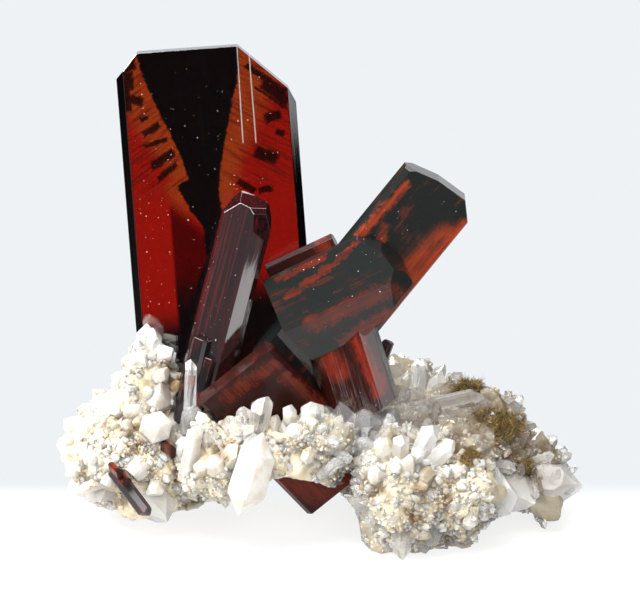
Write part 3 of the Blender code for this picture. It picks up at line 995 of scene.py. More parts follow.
STUB_PRISM = Prism(
    name="stub_prism",
    foot=(0.6, -2.4, 18.2),
    tip=(3.5, -3.0, 8.8),
    breadth=5.4,
    thickness=2.8,
    edges=((-1, -1, 0.9, 1.0), (1, -1, 1.3, 1.3), (-1, 1, 0.5, 0.5), (1, 1, 0.5, 0.5)),
    turn=10.0,
    ends=(((-0.35, -0.2, 0.91), (-1.6, 0.0, -0.8)),),
    lines=0.22,
    relief=0.010,
)
THROUGH_PLATE = Prism(
    name="through_plate",
    foot=(1.7, -1.1, 3.6),
    tip=(-6.3, -4.6, 13.2),
    breadth=7.0,
    thickness=1.6,
    edges=even_edges(0.35, 0.5),
    ends=(((0.60, 0.0, 0.80), (3.2, 0.0, -0.1)),),
    lines=0.3,
    relief=0.006,
)
SMALL_PRISM = Prism(
    name="small_prism_crystal",
    foot=(-15.2, -5.0, 5.7),
    tip=(-12.75, -7.9, 3.3),
    breadth=1.05,
    thickness=0.85,
    edges=even_edges(0.3, 0.25),
    turn=-25.0,
    ends=(((-0.55, 0.0, 0.84), (-0.1, 0.0, 0.0)), ((0.66, 0.0, 0.75), (0.1, 0.0, 0.0))),
    lines=0.12,
    relief=0.006,
)
CHIPS = (
    Prism("chip_upper", (-15.4, -5.2, 6.1), (-14.7, -6.9, 6.0), 0.8, 0.5, even_edges(0.12, 0.12), 20.0),
    Prism("chip_lower", (-14.6, -5.3, 5.6), (-14.2, -7.2, 5.5), 0.7, 0.5, even_edges(0.12, 0.12), -35.0),
    Prism("chip_middle", (-11.6, -4.6, 7.6), (-10.8, -6.4, 7.5), 0.9, 0.45, even_edges(0.12, 0.12), 5.0),
)
BACK_PRISM = Prism(
    name="back_prism_crystal",
    foot=(3.6, 3.0, 9.2),
    tip=(5.1, 2.8, 13.5),
    breadth=0.9,
    thickness=0.9,
    edges=even_edges(0.25, 0.25),
    turn=20.0,
    ends=(((-0.5, -0.3, 0.8), (0.0, 0.0, 0.0)),),
    lines=0.12,
    relief=0.006,
)
ALL_PRISMS = (
    TALL_BLADE,
    FRONT_PRISM,
    *ROOTLETS,
    UPPER_BLADE,
    CROSSING_PRISM,
    PARALLEL_PRISM,
    STUB_PRISM,
    THROUGH_PLATE,
    SMALL_PRISM,
    BACK_PRISM,
    *CHIPS,
)


def inside_brookite(places: Array, margin: float) -> Array:
    """True for places (N, 3) that lie in a brookite crystal, counted with a margin in mm."""
    found = np.zeros(len(places), bool)
    for prism in ALL_PRISMS:
        own = (places - np.array(prism.tip)) @ standing_axes(prism.foot, prism.tip).T @ prism.swing
        near_x = np.abs(own[:, 0]) < prism.breadth / 2 + margin
        near_y = np.abs(own[:, 1]) < prism.thickness / 2 + margin
        near_z = (own[:, 2] > -prism.length - margin) & (own[:, 2] < margin)
        found |= near_x & near_y & near_z
    return found


# Quartz


@dataclass(frozen=True)
class Lump:
    """A swelling of the massive quartz, an ellipsoid that crystals grow from."""

    name: str
    centre: Triple
    radii: Triple
    points: int


LUMPS = tuple(
    Lump(*row)
    for row in (
        ("left_mass", (-14.4, 3.0, 4.7), (4.5, 4.4, 4.4), 18),
        ("left_back", (-12.8, 5.4, 3.7), (4.6, 4.4, 4.3), 16),
        ("left_front", (-13.2, -2.0, 5.3), (4.2, 3.0, 3.5), 17),
        ("left_shelf", (-16.6, 0.4, 5.4), (2.3, 3.0, 2.6), 10),
        ("left_hump", (-12.6, -0.3, 10.6), (2.0, 1.9, 3.7), 12),
        ("hump_side", (-14.6, 0.6, 8.6), (1.9, 2.2, 2.4), 7),
        ("middle_front", (-6.8, -5.3, 6.7), (3.3, 2.4, 2.8), 12),
        ("middle", (-5.5, 2.0, 6.2), (7.0, 4.4, 4.0), 10),
        ("middle_back", (-6.0, 6.4, 4.0), (7.2, 3.8, 4.2), 15),
        ("front_bridge", (-3.6, -5.4, 7.4), (2.0, 2.0, 2.0), 5),
        ("core", (1.2, 2.6, 6.0), (3.8, 4.6, 3.6), 10),
        ("centre_front", (-0.4, -5.2, 7.7), (3.2, 2.6, 2.6), 12),
        ("right_front", (5.8, -6.6, 3.7), (3.2, 2.9, 3.9), 15),
        ("right_corner", (9.8, -5.4, 3.9), (3.4, 2.8, 3.2), 12),
        ("right_upper_front", (5.4, -5.0, 6.4), (2.7, 2.6, 2.6), 9),
        ("right_middle", (9.2, -1.2, 4.8), (6.2, 4.6, 3.8), 14),
        ("right_back", (7.0, 5.4, 5.2), (6.4, 4.4, 5.3), 22),
        ("right_shoulder", (12.2, 3.2, 5.6), (3.8, 4.0, 3.5), 13),
        ("far_right", (15.4, 0.6, 3.9), (3.2, 3.9, 2.7), 14),
        ("left_foot", (-12.6, 5.8, 1.5), (4.4, 3.2, 2.5), 0),
        ("back_foot", (8.0, 5.6, 1.5), (4.4, 3.4, 2.5), 0),
        ("right_foot", (7.1, -5.7, 1.4), (2.3, 2.2, 2.3), 0),
    )
)


class Clarity(Enum):
    """How clear a quartz crystal is."""

    MILKY = "milky"
    CLOUDY = "cloudy"
    CLEAR = "clear"


MILKY, CLOUDY, CLEAR = Clarity.MILKY, Clarity.CLOUDY, Clarity.CLEAR


@dataclass(frozen=True)
class QuartzPoint:
    """A six-sided quartz crystal from foot to tip. uneven spreads its end faces, as a share of its radius."""

    foot: Triple
    tip: Triple
    radius: float
    uneven: float = 0.5
    clarity: Clarity = MILKY
    both_ends: bool = False


LARGE_POINTS = {
    name: QuartzPoint(*row)
    for name, *row in (
        ("left_foot_block", (-13.6, -1.6, 4.2), (-11.5, -6.0, 1.5), 1.9, 0.9, CLOUDY),
        ("left_foot_side", (-15.8, -0.2, 3.8), (-16.6, -3.6, 1.9), 1.6, 0.9, CLOUDY),
        ("white_block", (-12.3, -2.4, 8.2), (-11.9, -6.8, 9.7), 1.3, 0.4),
        ("standing_rod", (-9.7, -3.4, 8.2), (-9.5, -3.2, 14.0), 0.55, 0.8, CLEAR),
        ("rod_foot", (-9.9, -3.0, 7.4), (-9.3, -4.2, 10.8), 0.9, 0.5, CLEAR),
        ("white_finger", (-9.9, -6.0, 5.4), (-9.0, -7.2, 10.1), 0.72, 0.6),
        ("white_finger_low", (-9.4, -4.6, 5.6), (-8.3, -6.6, 8.0), 0.9),
        ("hump_top", (-12.7, 0.2, 11.8), (-12.2, -0.7, 15.8), 0.75, 0.8, CLOUDY),
        ("hump_crest", (-13.0, 0.4, 11.8), (-13.0, -0.3, 16.1), 0.8, 0.8),
        ("hump_left", (-12.9, 0.0, 11.0), (-13.9, -0.8, 14.9), 0.8, 0.8),
        ("hump_front", (-12.0, -0.4, 9.8), (-11.8, -3.4, 12.2), 1.5, 0.8),
        ("hump_shoulder", (-14.4, 0.4, 8.2), (-15.8, -0.8, 10.8), 1.3, 0.8),
        ("clear_left", (-5.8, -5.8, 8.2), (-6.9, -6.8, 11.1), 0.95, 0.9, CLEAR),
        ("clear_middle", (-5.4, -6.0, 8.4), (-5.6, -6.8, 11.6), 0.8, 0.9, CLEAR),
        ("clear_right", (-4.8, -6.0, 8.6), (-4.0, -6.6, 12.3), 0.95, 0.9, CLEAR),
        ("clear_low", (-5.2, -6.2, 7.4), (-4.6, -7.8, 9.8), 0.8, 0.9, CLEAR),
        ("white_spindle", (-6.0, -9.0, 3.2), (-4.0, -8.3, 9.9), 1.6, 0.25, MILKY, True),
        ("spindle_seat", (-6.2, -5.2, 6.8), (-5.0, -8.2, 6.6), 1.3),
        ("centre_block", (-0.4, -4.6, 9.0), (-0.7, -6.4, 11.7), 1.05, 0.5, CLOUDY),
        ("centre_left", (-1.8, -4.4, 8.4), (-3.0, -6.2, 9.6), 0.95),
        ("centre_low", (-0.6, -5.4, 7.4), (-1.6, -7.8, 6.8), 0.9),
        ("clear_needle", (-0.2, -6.6, 5.6), (1.5, -9.0, 7.8), 0.45, 0.4, CLEAR),
        ("grey_block", (3.6, -3.6, 7.0), (3.4, -5.4, 11.0), 1.25, 0.5, CLEAR),
        ("grey_block_left", (2.6, -3.0, 7.4), (1.5, -4.4, 11.1), 1.0, 0.5, CLEAR),
        ("grey_block_low", (4.4, -2.6, 7.2), (5.6, -4.2, 10.4), 1.1, 0.5, CLEAR),
        ("white_fan_low", (5.6, -7.0, 4.8), (3.3, -9.2, 7.2), 0.75, 0.8),
        ("white_fan_mid", (5.8, -5.6, 5.8), (6.0, -8.2, 9.8), 0.75, 0.8, CLOUDY),
        ("white_fan_high", (7.0, -5.0, 6.4), (8.5, -7.4, 10.3), 0.85, 0.8, CLOUDY),
        ("white_fan_left", (5.2, -5.8, 6.0), (4.2, -8.0, 9.5), 0.7, 0.8, CLOUDY),
        ("white_fan_step", (6.6, -5.8, 5.6), (7.4, -8.6, 8.7), 0.6, 0.8),
        ("white_fan_side", (7.8, -5.2, 6.0), (10.0, -7.4, 8.8), 0.7, 0.8, CLOUDY),
        ("white_fan_foot", (6.0, -6.6, 4.6), (4.6, -9.4, 5.6), 0.6, 0.8),
        ("front_knob", (5.7, -8.0, 3.8), (6.1, -10.3, 0.2), 0.85, 0.5, CLEAR),
        ("front_foot_left", (5.0, -6.6, 4.4), (3.2, -8.0, 2.4), 1.1, 0.8, CLEAR),
        ("lower_tooth", (7.4, -6.6, 3.2), (9.0, -8.5, 0.5), 1.2, 0.7, CLEAR),
        ("clear_barrel", (10.8, -4.6, 5.5), (15.2, -6.6, 5.0), 1.7, 1.4, CLOUDY),
        ("clear_barrel_low", (12.4, -2.4, 4.6), (14.6, -5.4, 1.8), 1.4, 0.7, CLOUDY),
        ("long_rod", (4.8, 0.6, 8.0), (12.6, 1.4, 9.7), 0.9, 1.2, CLEAR),
        ("long_rod_low", (9.0, 1.0, 8.0), (14.4, 1.8, 8.8), 0.85, 1.2, CLEAR),
        ("back_block", (7.2, 5.0, 8.2), (7.6, 5.9, 11.9), 0.75, 0.8, CLOUDY),
        ("back_block_left", (5.9, 5.2, 8.0), (5.5, 6.2, 11.8), 0.7, 0.8, CLEAR),
        ("back_block_middle", (6.5, 4.8, 8.0), (6.6, 4.7, 11.2), 0.7, 0.8, CLEAR),
        ("back_block_right", (8.3, 4.8, 7.8), (9.2, 5.4, 10.8), 0.8, 0.6, CLOUDY),
        ("back_block_front", (7.0, 4.0, 7.6), (7.4, 3.4, 10.2), 0.75, 0.7, CLEAR),
        ("back_block_low", (5.4, 4.0, 7.6), (4.9, 3.4, 10.3), 0.8, 0.7, CLEAR),
        ("far_corner", (15.6, -0.4, 3.7), (20.1, -0.9, 3.1), 1.9, 0.3, CLOUDY),
        ("far_corner_low", (14.0, -1.6, 3.6), (16.6, -4.6, 2.2), 1.8, 0.8, CLOUDY),
        ("far_corner_high", (14.6, 0.6, 4.6), (17.0, 0.6, 7.2), 1.4, 0.5, CLOUDY),
        ("left_edge", (-16.0, 0.6, 4.8), (-20.0, -0.2, 6.6), 1.4, 0.4),
        ("left_edge_low", (-16.2, 1.0, 3.4), (-19.4, 0.2, 2.2), 1.5),
        ("left_edge_high", (-16.2, 0.6, 5.8), (-18.2, 0.2, 8.4), 1.2),
        ("back_spine", (-3.0, 7.2, 5.0), (-2.0, 10.4, 6.4), 1.4),
        ("back_tooth", (9.0, 7.2, 5.0), (10.2, 10.4, 5.4), 1.5),
        ("back_corner", (-13.0, 6.6, 4.4), (-15.4, 10.4, 4.8), 1.5),
    )
}

RHOMB_ANGLE = math.radians(51.8)
GOLDEN_ANGLE = math.pi * (3.0 - math.sqrt(5.0))
BACK_LIMIT = 10.95
UNDERCUT_MIDDLE = (-2.2, 0.0, -0.35)
UNDERCUT_HALF_WIDTH = 5.2
UNDERCUT_HALF_HEIGHT = 4.0
UNDERCUT_SLOPE = math.radians(15.0)


class RaggedBase(Waves):
    """The broken underside's own relief."""

    def lifted(self, places: Array) -> Array:
        """Height over the resting plane at places (N, 3): more towards the front, and never below it."""
        front = np.clip((-places[:, 1] - 5.0) / 4.0, 0.0, 1.0)
        return np.maximum(0.0, 0.02 + 0.25 * self.at(places) + 0.1 * front)


RAGGED_BASE = RaggedBase(41, 0.8, 3.0)


def underside(places: Array) -> Array:
    """Height of the matrix's underside over places (N, 3): the floor, or the roof of the front hollow.

    The roof is the upper half of an ellipse across x. It falls from front to back with the hollow's slope.
    """
    across = (places[:, 0] - UNDERCUT_MIDDLE[0]) / UNDERCUT_HALF_WIDTH
    arch = UNDERCUT_HALF_HEIGHT * np.sqrt(np.clip(1.0 - across**2, 0.0, 1.0)) / math.cos(UNDERCUT_SLOPE)
    fall = (places[:, 1] - UNDERCUT_MIDDLE[1]) * math.tan(UNDERCUT_SLOPE)
    roof = UNDERCUT_MIDDLE[2] + arch - fall
    return np.where(np.abs(across) < 1.0, np.maximum(roof, 0.0), 0.0) + RAGGED_BASE.lifted(places)


def deep_in_lumps(places: Array, level: float, besides: Lump | None = None) -> Array:
    """True for places (N, 3) inside a lump shrunk to the given squared level."""
    found = np.zeros(len(places), bool)
    for lump in LUMPS:
        if lump is besides:
            continue
        own = (places - np.array(lump.centre)) / np.array(lump.radii)
        found |= np.sum(own**2, axis=1) < level
    return found


# Ochre and brown patches: middle, reach and strength.
OCHRE_PATCHES = (
    ((11.6, -2.6, 8.2), 1.3, 0.8),
    ((14.0, -1.6, 6.6), 2.0, 0.95),
    ((10.4, -4.6, 6.4), 1.5, 0.8),
    ((16.4, 0.2, 6.4), 1.8, 0.8),
    ((10.6, 0.4, 9.0), 2.6, 0.9),
    ((13.6, 2.6, 7.4), 1.8, 0.9),
    ((12.8, 6.0, 8.0), 2.0, 0.8),
    ((-8.0, 9.4, 4.5), 2.2, 0.6),
)


# Stains of the best face, some of them painted shade in crevices between crystals: place across, place up the
# picture, reach and strength.
FRONT_STAINS_AND_SHADE = (
    (-10.9, 10.9, 1.1, 1.0), (-14.1, 7.3, 0.9, 0.9), (-10.6, 9.2, 0.9, 1.0), (-8.5, 6.8, 0.6, 0.9),
    (-13.3, 6.4, 0.6, 0.9), (-0.9, 6.0, 0.7, 0.6), (7.6, 3.3, 0.7, 0.7), (-10.9, 3.7, 0.6, 0.9),
    (-14.7, 2.1, 0.6, 0.8), (-7.0, 5.6, 0.8, 0.9), (-4.2, 8.0, 0.9, 0.9), (6.7, 1.0, 0.7, 1.0),
    (9.2, 2.3, 0.6, 0.9), (4.1, 2.9, 0.7, 0.9), (17.0, 3.1, 0.8, 0.7), (15.4, 4.2, 0.8, 0.9),
    (-17.6, 2.6, 0.9, 0.5),
)


def stain_at(places: Array, ragged: Waves) -> Array:
    """Share of ochre at places (N, 3), as stains and as painted crevice shade: each patch fades with
    distance, and its rim is ragged.
    """
    share = np.zeros(len(places))
    wobble = ragged.at(places)
    for middle, reach, strength in OCHRE_PATCHES:
        away = np.linalg.norm(places - np.array(middle), axis=1) / reach
        share = np.maximum(share, strength * np.clip(1.6 - away + 0.7 * wobble, 0.0, 1.0))
    up = up_the_picture(places)
    for across, middle, reach, strength in FRONT_STAINS_AND_SHADE:
        away = np.hypot(places[:, 0] - across, up - middle) / reach
        found = strength * np.clip(1.6 - away + 0.8 * wobble, 0.0, 1.0)
        share = np.where(places[:, 1] < 2.0, np.maximum(share, found), share)
    return np.clip(share, 0.0, 1.0)


# Brown moss as the best face shows it: place across, place up the picture, half width and half height.
MOSS_PATCHES = (
    (10.9, 10.0, 1.1, 0.55),
    (13.7, 7.35, 1.3, 1.1),
    (12.0, 8.3, 0.7, 0.55),
    (11.0, 5.1, 0.7, 0.7),
    (15.3, 4.3, 0.35, 0.7),
)
VIEW_SLOPE = math.radians(15.0)
# The white fan at the right front, inside the clear quartz.
FRONT_RIGHT_MIDDLE = (8.0, -7.5, 4.6)
FRONT_RIGHT_RADII = (4.6, 3.8, 3.4)


def up_the_picture(places: Array) -> Array:
    """How high places (N, 3) stand in the picture, seen level with the camera's slope."""
    return places[:, 2] * math.cos(VIEW_SLOPE) + places[:, 1] * math.sin(VIEW_SLOPE)


def in_moss(places: Array) -> Array:
    """True for places (N, 3) in a moss patch."""
    up = up_the_picture(places)
    found = np.zeros(len(places), bool)
    for across, middle, half_width, half_height in MOSS_PATCHES:
        found |= ((places[:, 0] - across) / half_width) ** 2 + ((up - middle) / half_height) ** 2 < 1.0
    return found


def clearness_at(places: Array) -> Array:
    """How clear the quartz is at places (N, 3), from 0 in the white left mass to 1 in the right middle."""
    across = np.clip((places[:, 0] + 1.5) / 3.0, 0.0, 1.0)
    own = (places - np.array(FRONT_RIGHT_MIDDLE)) / np.array(FRONT_RIGHT_RADII)
    front_right = np.exp(-np.sum(own**4, axis=1))
    return np.clip(across * (1.0 - 0.95 * front_right), 0.0, 1.0)


def milky_share(places: Array) -> Array:
    """Share of the milky druse that grows at places (N, 3)."""
    return 1.0 - 0.9 * clearness_at(places)


def clear_share(places: Array) -> Array:
    """Share of the clear druse that grows at places (N, 3)."""
    return 0.05 + 0.85 * clearness_at(places)


class Skin:
    """The massive quartz's skin: each lump's ellipsoid, swollen by coarse waves and rough with fine ones."""

    relief = 0.26
    grain = 0.20

    def __init__(self) -> None:
        """Draws the waves."""
        self.coarse = Waves(11, 1.6, 6.0)
        self.fine = Waves(12, 0.35, 1.6)

    def at(self, centre: Array, radii: Array, ball: Array) -> tuple[Array, Array]:
        """Places on the skin, and the ellipsoid's outward directions there.

        Args:
            centre: the lump's middle, broadcast against ball.
            radii: the lump's radii, broadcast against ball.
            ball: unit directions, (..., 3).

        Returns:
            Places and unit directions, both (N, 3).
        """
        plain = (centre + radii * ball).reshape(-1, 3)
        middle = np.broadcast_to(centre, ball.shape).reshape(-1, 3)
        outward = unit((ball / radii).reshape(-1, 3))
        swell = 0.95 + self.relief * self.coarse.at(plain)
        rough = self.grain * self.fine.at(plain)
        return middle + (plain - middle) * swell[:, None] + rough[:, None] * outward, outward


class QuartzRock:
    """The massive quartz: the lumps with a rough broken skin."""

    steps = 5

    def __init__(self, skin: Skin, ragged: Waves) -> None:
        """Keeps the skin and the waves of the rims of the stains and painted shade."""
        self.skin = skin
        self.ragged = ragged

    def build(self, finish: Material) -> Object:
        """Builds all lumps as one piece, a finely divided ball each, flattened on the underside."""
        ball = bmesh.new()
        bmesh.ops.create_icosphere(ball, subdivisions=self.steps, radius=1.0)
        sphere = np.array([vert.co[:] for vert in ball.verts])
        rings = np.array([[vert.index for vert in face.verts] for face in ball.faces])
        ball.free()
        centres = np.array([lump.centre for lump in LUMPS])[:, None]
        radii = np.array([lump.radii for lump in LUMPS])[:, None]
        placed, _ = self.skin.at(centres, radii, np.broadcast_to(sphere, (len(LUMPS), *sphere.shape)))
        placed[:, 2] = np.maximum(placed[:, 2], underside(placed))
        faces = (rings[None] + (np.arange(len(LUMPS)) * len(sphere))[:, None, None]).reshape(-1, 3)
        # The rock is darker where the quartz is clear: partly painted shade for the dim depth seen through
        # clear quartz.
        tone = 0.95 - 0.8 * clearness_at(placed) + 0.1 * self.skin.fine.at(placed)
        stain = stain_at(placed, self.ragged)
        return quartz_piece("quartz_rock", placed, faces, finish, tone=np.clip(tone, 0.0, 1.0), stain=stain)


class QuartzSolids:
    """Larger quartz crystals with true faces: six prism faces and rhombohedral end faces of uneven height."""

    taper = 0.9

    def __init__(self) -> None:
        """Starts with no crystal."""
        self.places: dict[Clarity, list[Array]] = {clarity: [] for clarity in Clarity}
        self.faces: dict[Clarity, list[list[int]]] = {clarity: [] for clarity in Clarity}
        self.tones: dict[Clarity, list[Array]] = {clarity: [] for clarity in Clarity}
        self.count = {clarity: 0 for clarity in Clarity}

    def add(self, point: QuartzPoint, drops: Array, tone: float) -> None:
        """Adds one crystal.

        Args:
            point: its place and size.
            drops: how far each end face lies below the tip, as a share.
            tone: its paleness.
        """
        length = float(np.linalg.norm(np.subtract(point.tip, point.foot)))
        around = np.arange(6) * math.pi / 3
        flat = math.cos(math.pi / 6) * point.radius
        lean = flat * (1 - self.taper) / length
        sides = unit(np.column_stack([np.cos(around), np.sin(around), np.full(6, lean)]))
        side_reach = np.full(6, flat * self.taper / math.sqrt(1 + lean**2))
        end_around = np.arange(len(drops)) * 2 * math.pi / len(drops)
        outward, upward = math.sin(RHOMB_ANGLE), math.cos(RHOMB_ANGLE)
        ends = np.column_stack(
            [outward * np.cos(end_around), outward * np.sin(end_around), np.full(len(drops), upward)]
        )
        end_reach = -drops * point.uneven * point.radius * upward
        normals = [sides, ends, [[0.0, 0.0, -1.0]]]
        reaches = [side_reach, end_reach, [length]]
        if point.both_ends:
            normals.append(ends * [1.0, 1.0, -1.0])
            reaches.append(end_reach + length * upward)
        own, faces = solid_faces(np.concatenate(normals), np.concatenate(reaches))
        placed = own @ standing_axes(point.foot, point.tip) + np.array(point.tip)
        placed[:, 2] = np.maximum(placed[:, 2], 0.0 if point.both_ends else underside(placed))
        self.places[point.clarity].append(placed)
        first = self.count[point.clarity]
        self.faces[point.clarity] += [[first + corner for corner in face] for face in faces]
        self.tones[point.clarity].append(np.full(len(placed), tone))
        self.count[point.clarity] += len(placed)

    def build(self, clarity: Clarity, finish: Material, ragged: Waves) -> Object:
        """Builds the crystals of one clarity as one piece."""
        places = np.concatenate(self.places[clarity])
        # The larger crystals take half the stains and painted crevice shade.
        tone, stain = np.concatenate(self.tones[clarity]), 0.5 * stain_at(places, ragged)
        name = clarity.value + "_crystals"
        piece = quartz_piece(name, places, self.faces[clarity], finish, tone=tone, stain=stain)
        piece.visible_shadow = clarity is MILKY
        return piece


def crust_points(lump: Lump, rng: np.random.Generator) -> list[QuartzPoint]:
    """Quartz points spread evenly over a lump, leaning off it at random.

    The nth direction follows the golden angle round the vertical. A point that would start inside another
    lump is left out. The points of the right front are smaller.
    """
    small = 0.7 if lump.centre[0] > 3.0 and lump.centre[1] < -3.0 else 1.0
    count = round(1.7 * lump.points / small**2)
    number = np.arange(count) + 0.5
    height = 1.0 - 1.45 * number / max(count, 1)
    around = number * GOLDEN_ANGLE + rng.uniform(0.0, TURN)
    level = np.sqrt(1.0 - height**2)
    outward = np.stack([level * np.cos(around), level * np.sin(around), height], axis=1)
    radii = np.array(lump.radii)
    surface = np.array(lump.centre) + radii * outward
    lean = unit(unit(outward / radii) + 0.55 * rng.uniform(-1.0, 1.0, outward.shape))
    length = small * rng.uniform(2.2, 4.4, count)[:, None]
    radius = small * (0.40 + 0.55 * rng.uniform(0.0, 1.0, count) ** 1.6)
    foot = surface - 0.65 * length * lean
    tip = surface + 0.35 * length * lean
    kept = ~deep_in_lumps(surface, 0.8, lump) & ~in_moss(surface) & (tip[:, 1] < BACK_LIMIT - 0.2)
    clear = clearness_at(surface) > 0.5
    return [
        QuartzPoint(tuple(foot[i]), tuple(tip[i]), float(radius[i]), 0.9, CLEAR if clear[i] else MILKY)
        for i in np.flatnonzero(kept)
    ]


@dataclass(frozen=True)
class DruseSize:
    """Crystals per square mm, their radius, length over radius, lean, and how far small ones prevail."""

    density: float
    radius: Pair
    aspect: Pair
    lean: float
    smallness: float = 2.0


def near_large_points(places: Array) -> Array:
    """True for places (N, 3) beside the free part of a large crystal, which stays bare."""
    found = np.zeros(len(places), bool)
    for point in LARGE_POINTS.values():
        foot, tip = np.array(point.foot), np.array(point.tip)
        run = tip - foot
        share = (places - foot) @ run / (run @ run)
        away = np.linalg.norm(places - foot - share[:, None] * run, axis=1)
        found |= (share > 0.42) & (share < 1.25) & (away < 1.12 * point.radius)
    return found


class Druse:
    """Thousands of small quartz crystals as one mesh: six-sided prisms that close in off-centre points."""

    corners = 13
    def __init__(self, name: str, seed: int, size: DruseSize, skin: Skin) -> None:
        """Keeps the name and sizes, and starts the random numbers."""
        self.name = name
        self.rng = np.random.default_rng(seed)
        self.size = size
        self.skin = skin

    def on_lumps(self) -> tuple[Array, Array]:
        """Feet (N, 3) and outward directions (N, 3) spread over the open skin of all lumps."""
        feet, outs = [], []
        for lump in LUMPS:
            radii = np.array(lump.radii)
            pairs = np.outer(radii, radii)[np.triu_indices(3, 1)]
            area = 4.0 * math.pi * np.mean(pairs**1.6) ** (1 / 1.6)
            ball = unit(self.rng.normal(size=(int(area * self.size.density), 3)))
            places, outward = self.skin.at(np.array(lump.centre), radii, ball)
            kept = ~deep_in_lumps(places, 0.86, lump)
            feet.append(places[kept])
            outs.append(outward[kept])
        return np.concatenate(feet), np.concatenate(outs)

    def on_points(self, points: list[QuartzPoint]) -> tuple[Array, Array]:
        """Feet (N, 3) and outward directions (N, 3) on the flanks of larger crystals, clear of their tips."""
        feet = np.array([point.foot for point in points])
        tips = np.array([point.tip for point in points])
        radius = np.array([point.radius for point in points])
        length = np.linalg.norm(tips - feet, axis=1)
        share = np.round(self.size.density * 2.0 * math.pi * radius * length * 0.55).astype(int)
        which = np.repeat(np.arange(len(points)), share)
        around = self.rng.uniform(0.0, TURN, len(which))
        reach = np.maximum(0.9 - 1.3 * radius / length, 0.3)[which]
        along = 0.25 + (reach - 0.25) * self.rng.uniform(0.0, 1.0, len(which))
        axes = standing_axes(feet, tips)[which]
        spoke = np.cos(around)[:, None] * axes[:, 0] + np.sin(around)[:, None] * axes[:, 1]
        places = feet[which] + (tips - feet)[which] * along[:, None] + 0.84 * radius[which, None] * spoke
        kept = ~deep_in_lumps(places, 0.8)
        return places[kept], unit(spoke + 0.5 * axes[:, 2])[kept]

    def open_places(self, feet: Array, outward: Array, chooser) -> tuple[Array, Array]:
        """Drops what lies in a brookite, a large crystal or the underside, and thins the rest by chance."""
        kept = (feet[:, 2] > underside(feet) + 0.15) & ~inside_brookite(feet, 0.08) & ~near_large_points(feet)
        kept &= feet[:, 1] < BACK_LIMIT - self.size.radius[1] * self.size.aspect[1]
        chance = chooser(feet) * np.where(in_moss(feet), 0.12, 1.0)
        kept &= self.rng.uniform(size=len(feet)) < chance
        return feet[kept], outward[kept]

    def build(
        self, feet: Array, outward: Array, finish: Material, ragged: Waves
    ) -> Object:
        """Builds the crystals.

        Each has six corners at its foot, six at its shoulders and one point. The point stands off the middle,
        and each shoulder lies below it by the slope of the end faces times their distance apart.

        Args:
            feet: where they start, (N, 3).
            outward: where they lean on average, (N, 3).
            finish: their material.
            ragged: the rim of the stains and painted shade.

        Returns:
            The piece.
        """
        rng, count = self.rng, len(feet)
        radius, aspect, lean = self.size.radius, self.size.aspect, self.size.lean
        size = rng.uniform(0.0, 1.0, count) ** self.size.smallness * (radius[1] - radius[0]) + radius[0]
        length = size * rng.uniform(*aspect, count)
        along = unit(outward + lean * rng.normal(size=(count, 3)))
        axes = standing_axes(feet, feet + along)
        around = np.arange(6) * math.pi / 3 + rng.uniform(0.0, math.pi, count)[:, None]
        spread = 1.0 + rng.uniform(-0.16, 0.16, (count, 6))
        rim = np.stack([np.cos(around), np.sin(around)], axis=-1) * (size[:, None] * spread)[..., None]
        apex = rng.uniform(-0.45, 0.45, (count, 2)) * size[:, None]
        fall = rng.uniform(0.5, 1.2, (count, 1)) * np.linalg.norm(rim - apex[:, None], axis=2)
        corners = self.corners
        own = np.zeros((count, corners, 3))
        own[:, :6, :2] = rim
        own[:, :6, 2] = -0.6 * length[:, None]
        own[:, 6:12, :2] = rim * 0.93
        own[:, 6:12, 2] = np.maximum(length[:, None] - fall, 0.10 * length[:, None])
        own[:, 12, :2] = apex
        own[:, 12, 2] = length
        placed = (own @ axes + feet[:, None]).reshape(-1, 3)
        placed[:, 2] = np.maximum(placed[:, 2], underside(placed) + 0.01)
        here = np.arange(6)
        ahead = (here + 1) % 6
        sides = np.stack([here, ahead, ahead + 6, here + 6], axis=1)
        ends = np.stack([here + 6, ahead + 6, np.full(6, 12)], axis=1)
        first = (np.arange(count) * corners)[:, None, None]
        base = [[*range(start + 5, start - 1, -1)] for start in range(0, count * corners, corners)]
        faces = (sides + first).reshape(-1, 4).tolist() + (ends + first).reshape(-1, 3).tolist() + base
        tone = np.clip(rng.normal(0.72, 0.22, count), 0.0, 1.0)
        # Painted shade and light: each foot is much darker and each tip a little paler, for the shade down in
        # the crevices and the light on the tips.
        painted_depth_shade = np.repeat([-0.9, 0.0, 0.15], [6, 6, 1])
        tone = np.clip(tone[:, None] + painted_depth_shade, 0.0, 1.0).ravel()
        # Stains, partly painted crevice shade, taken at each crystal's foot.
        stain = np.repeat(stain_at(feet, ragged) * rng.uniform(0.5, 1.0, count), corners)
        return quartz_piece(self.name, placed, faces, finish, tone=tone, stain=stain)


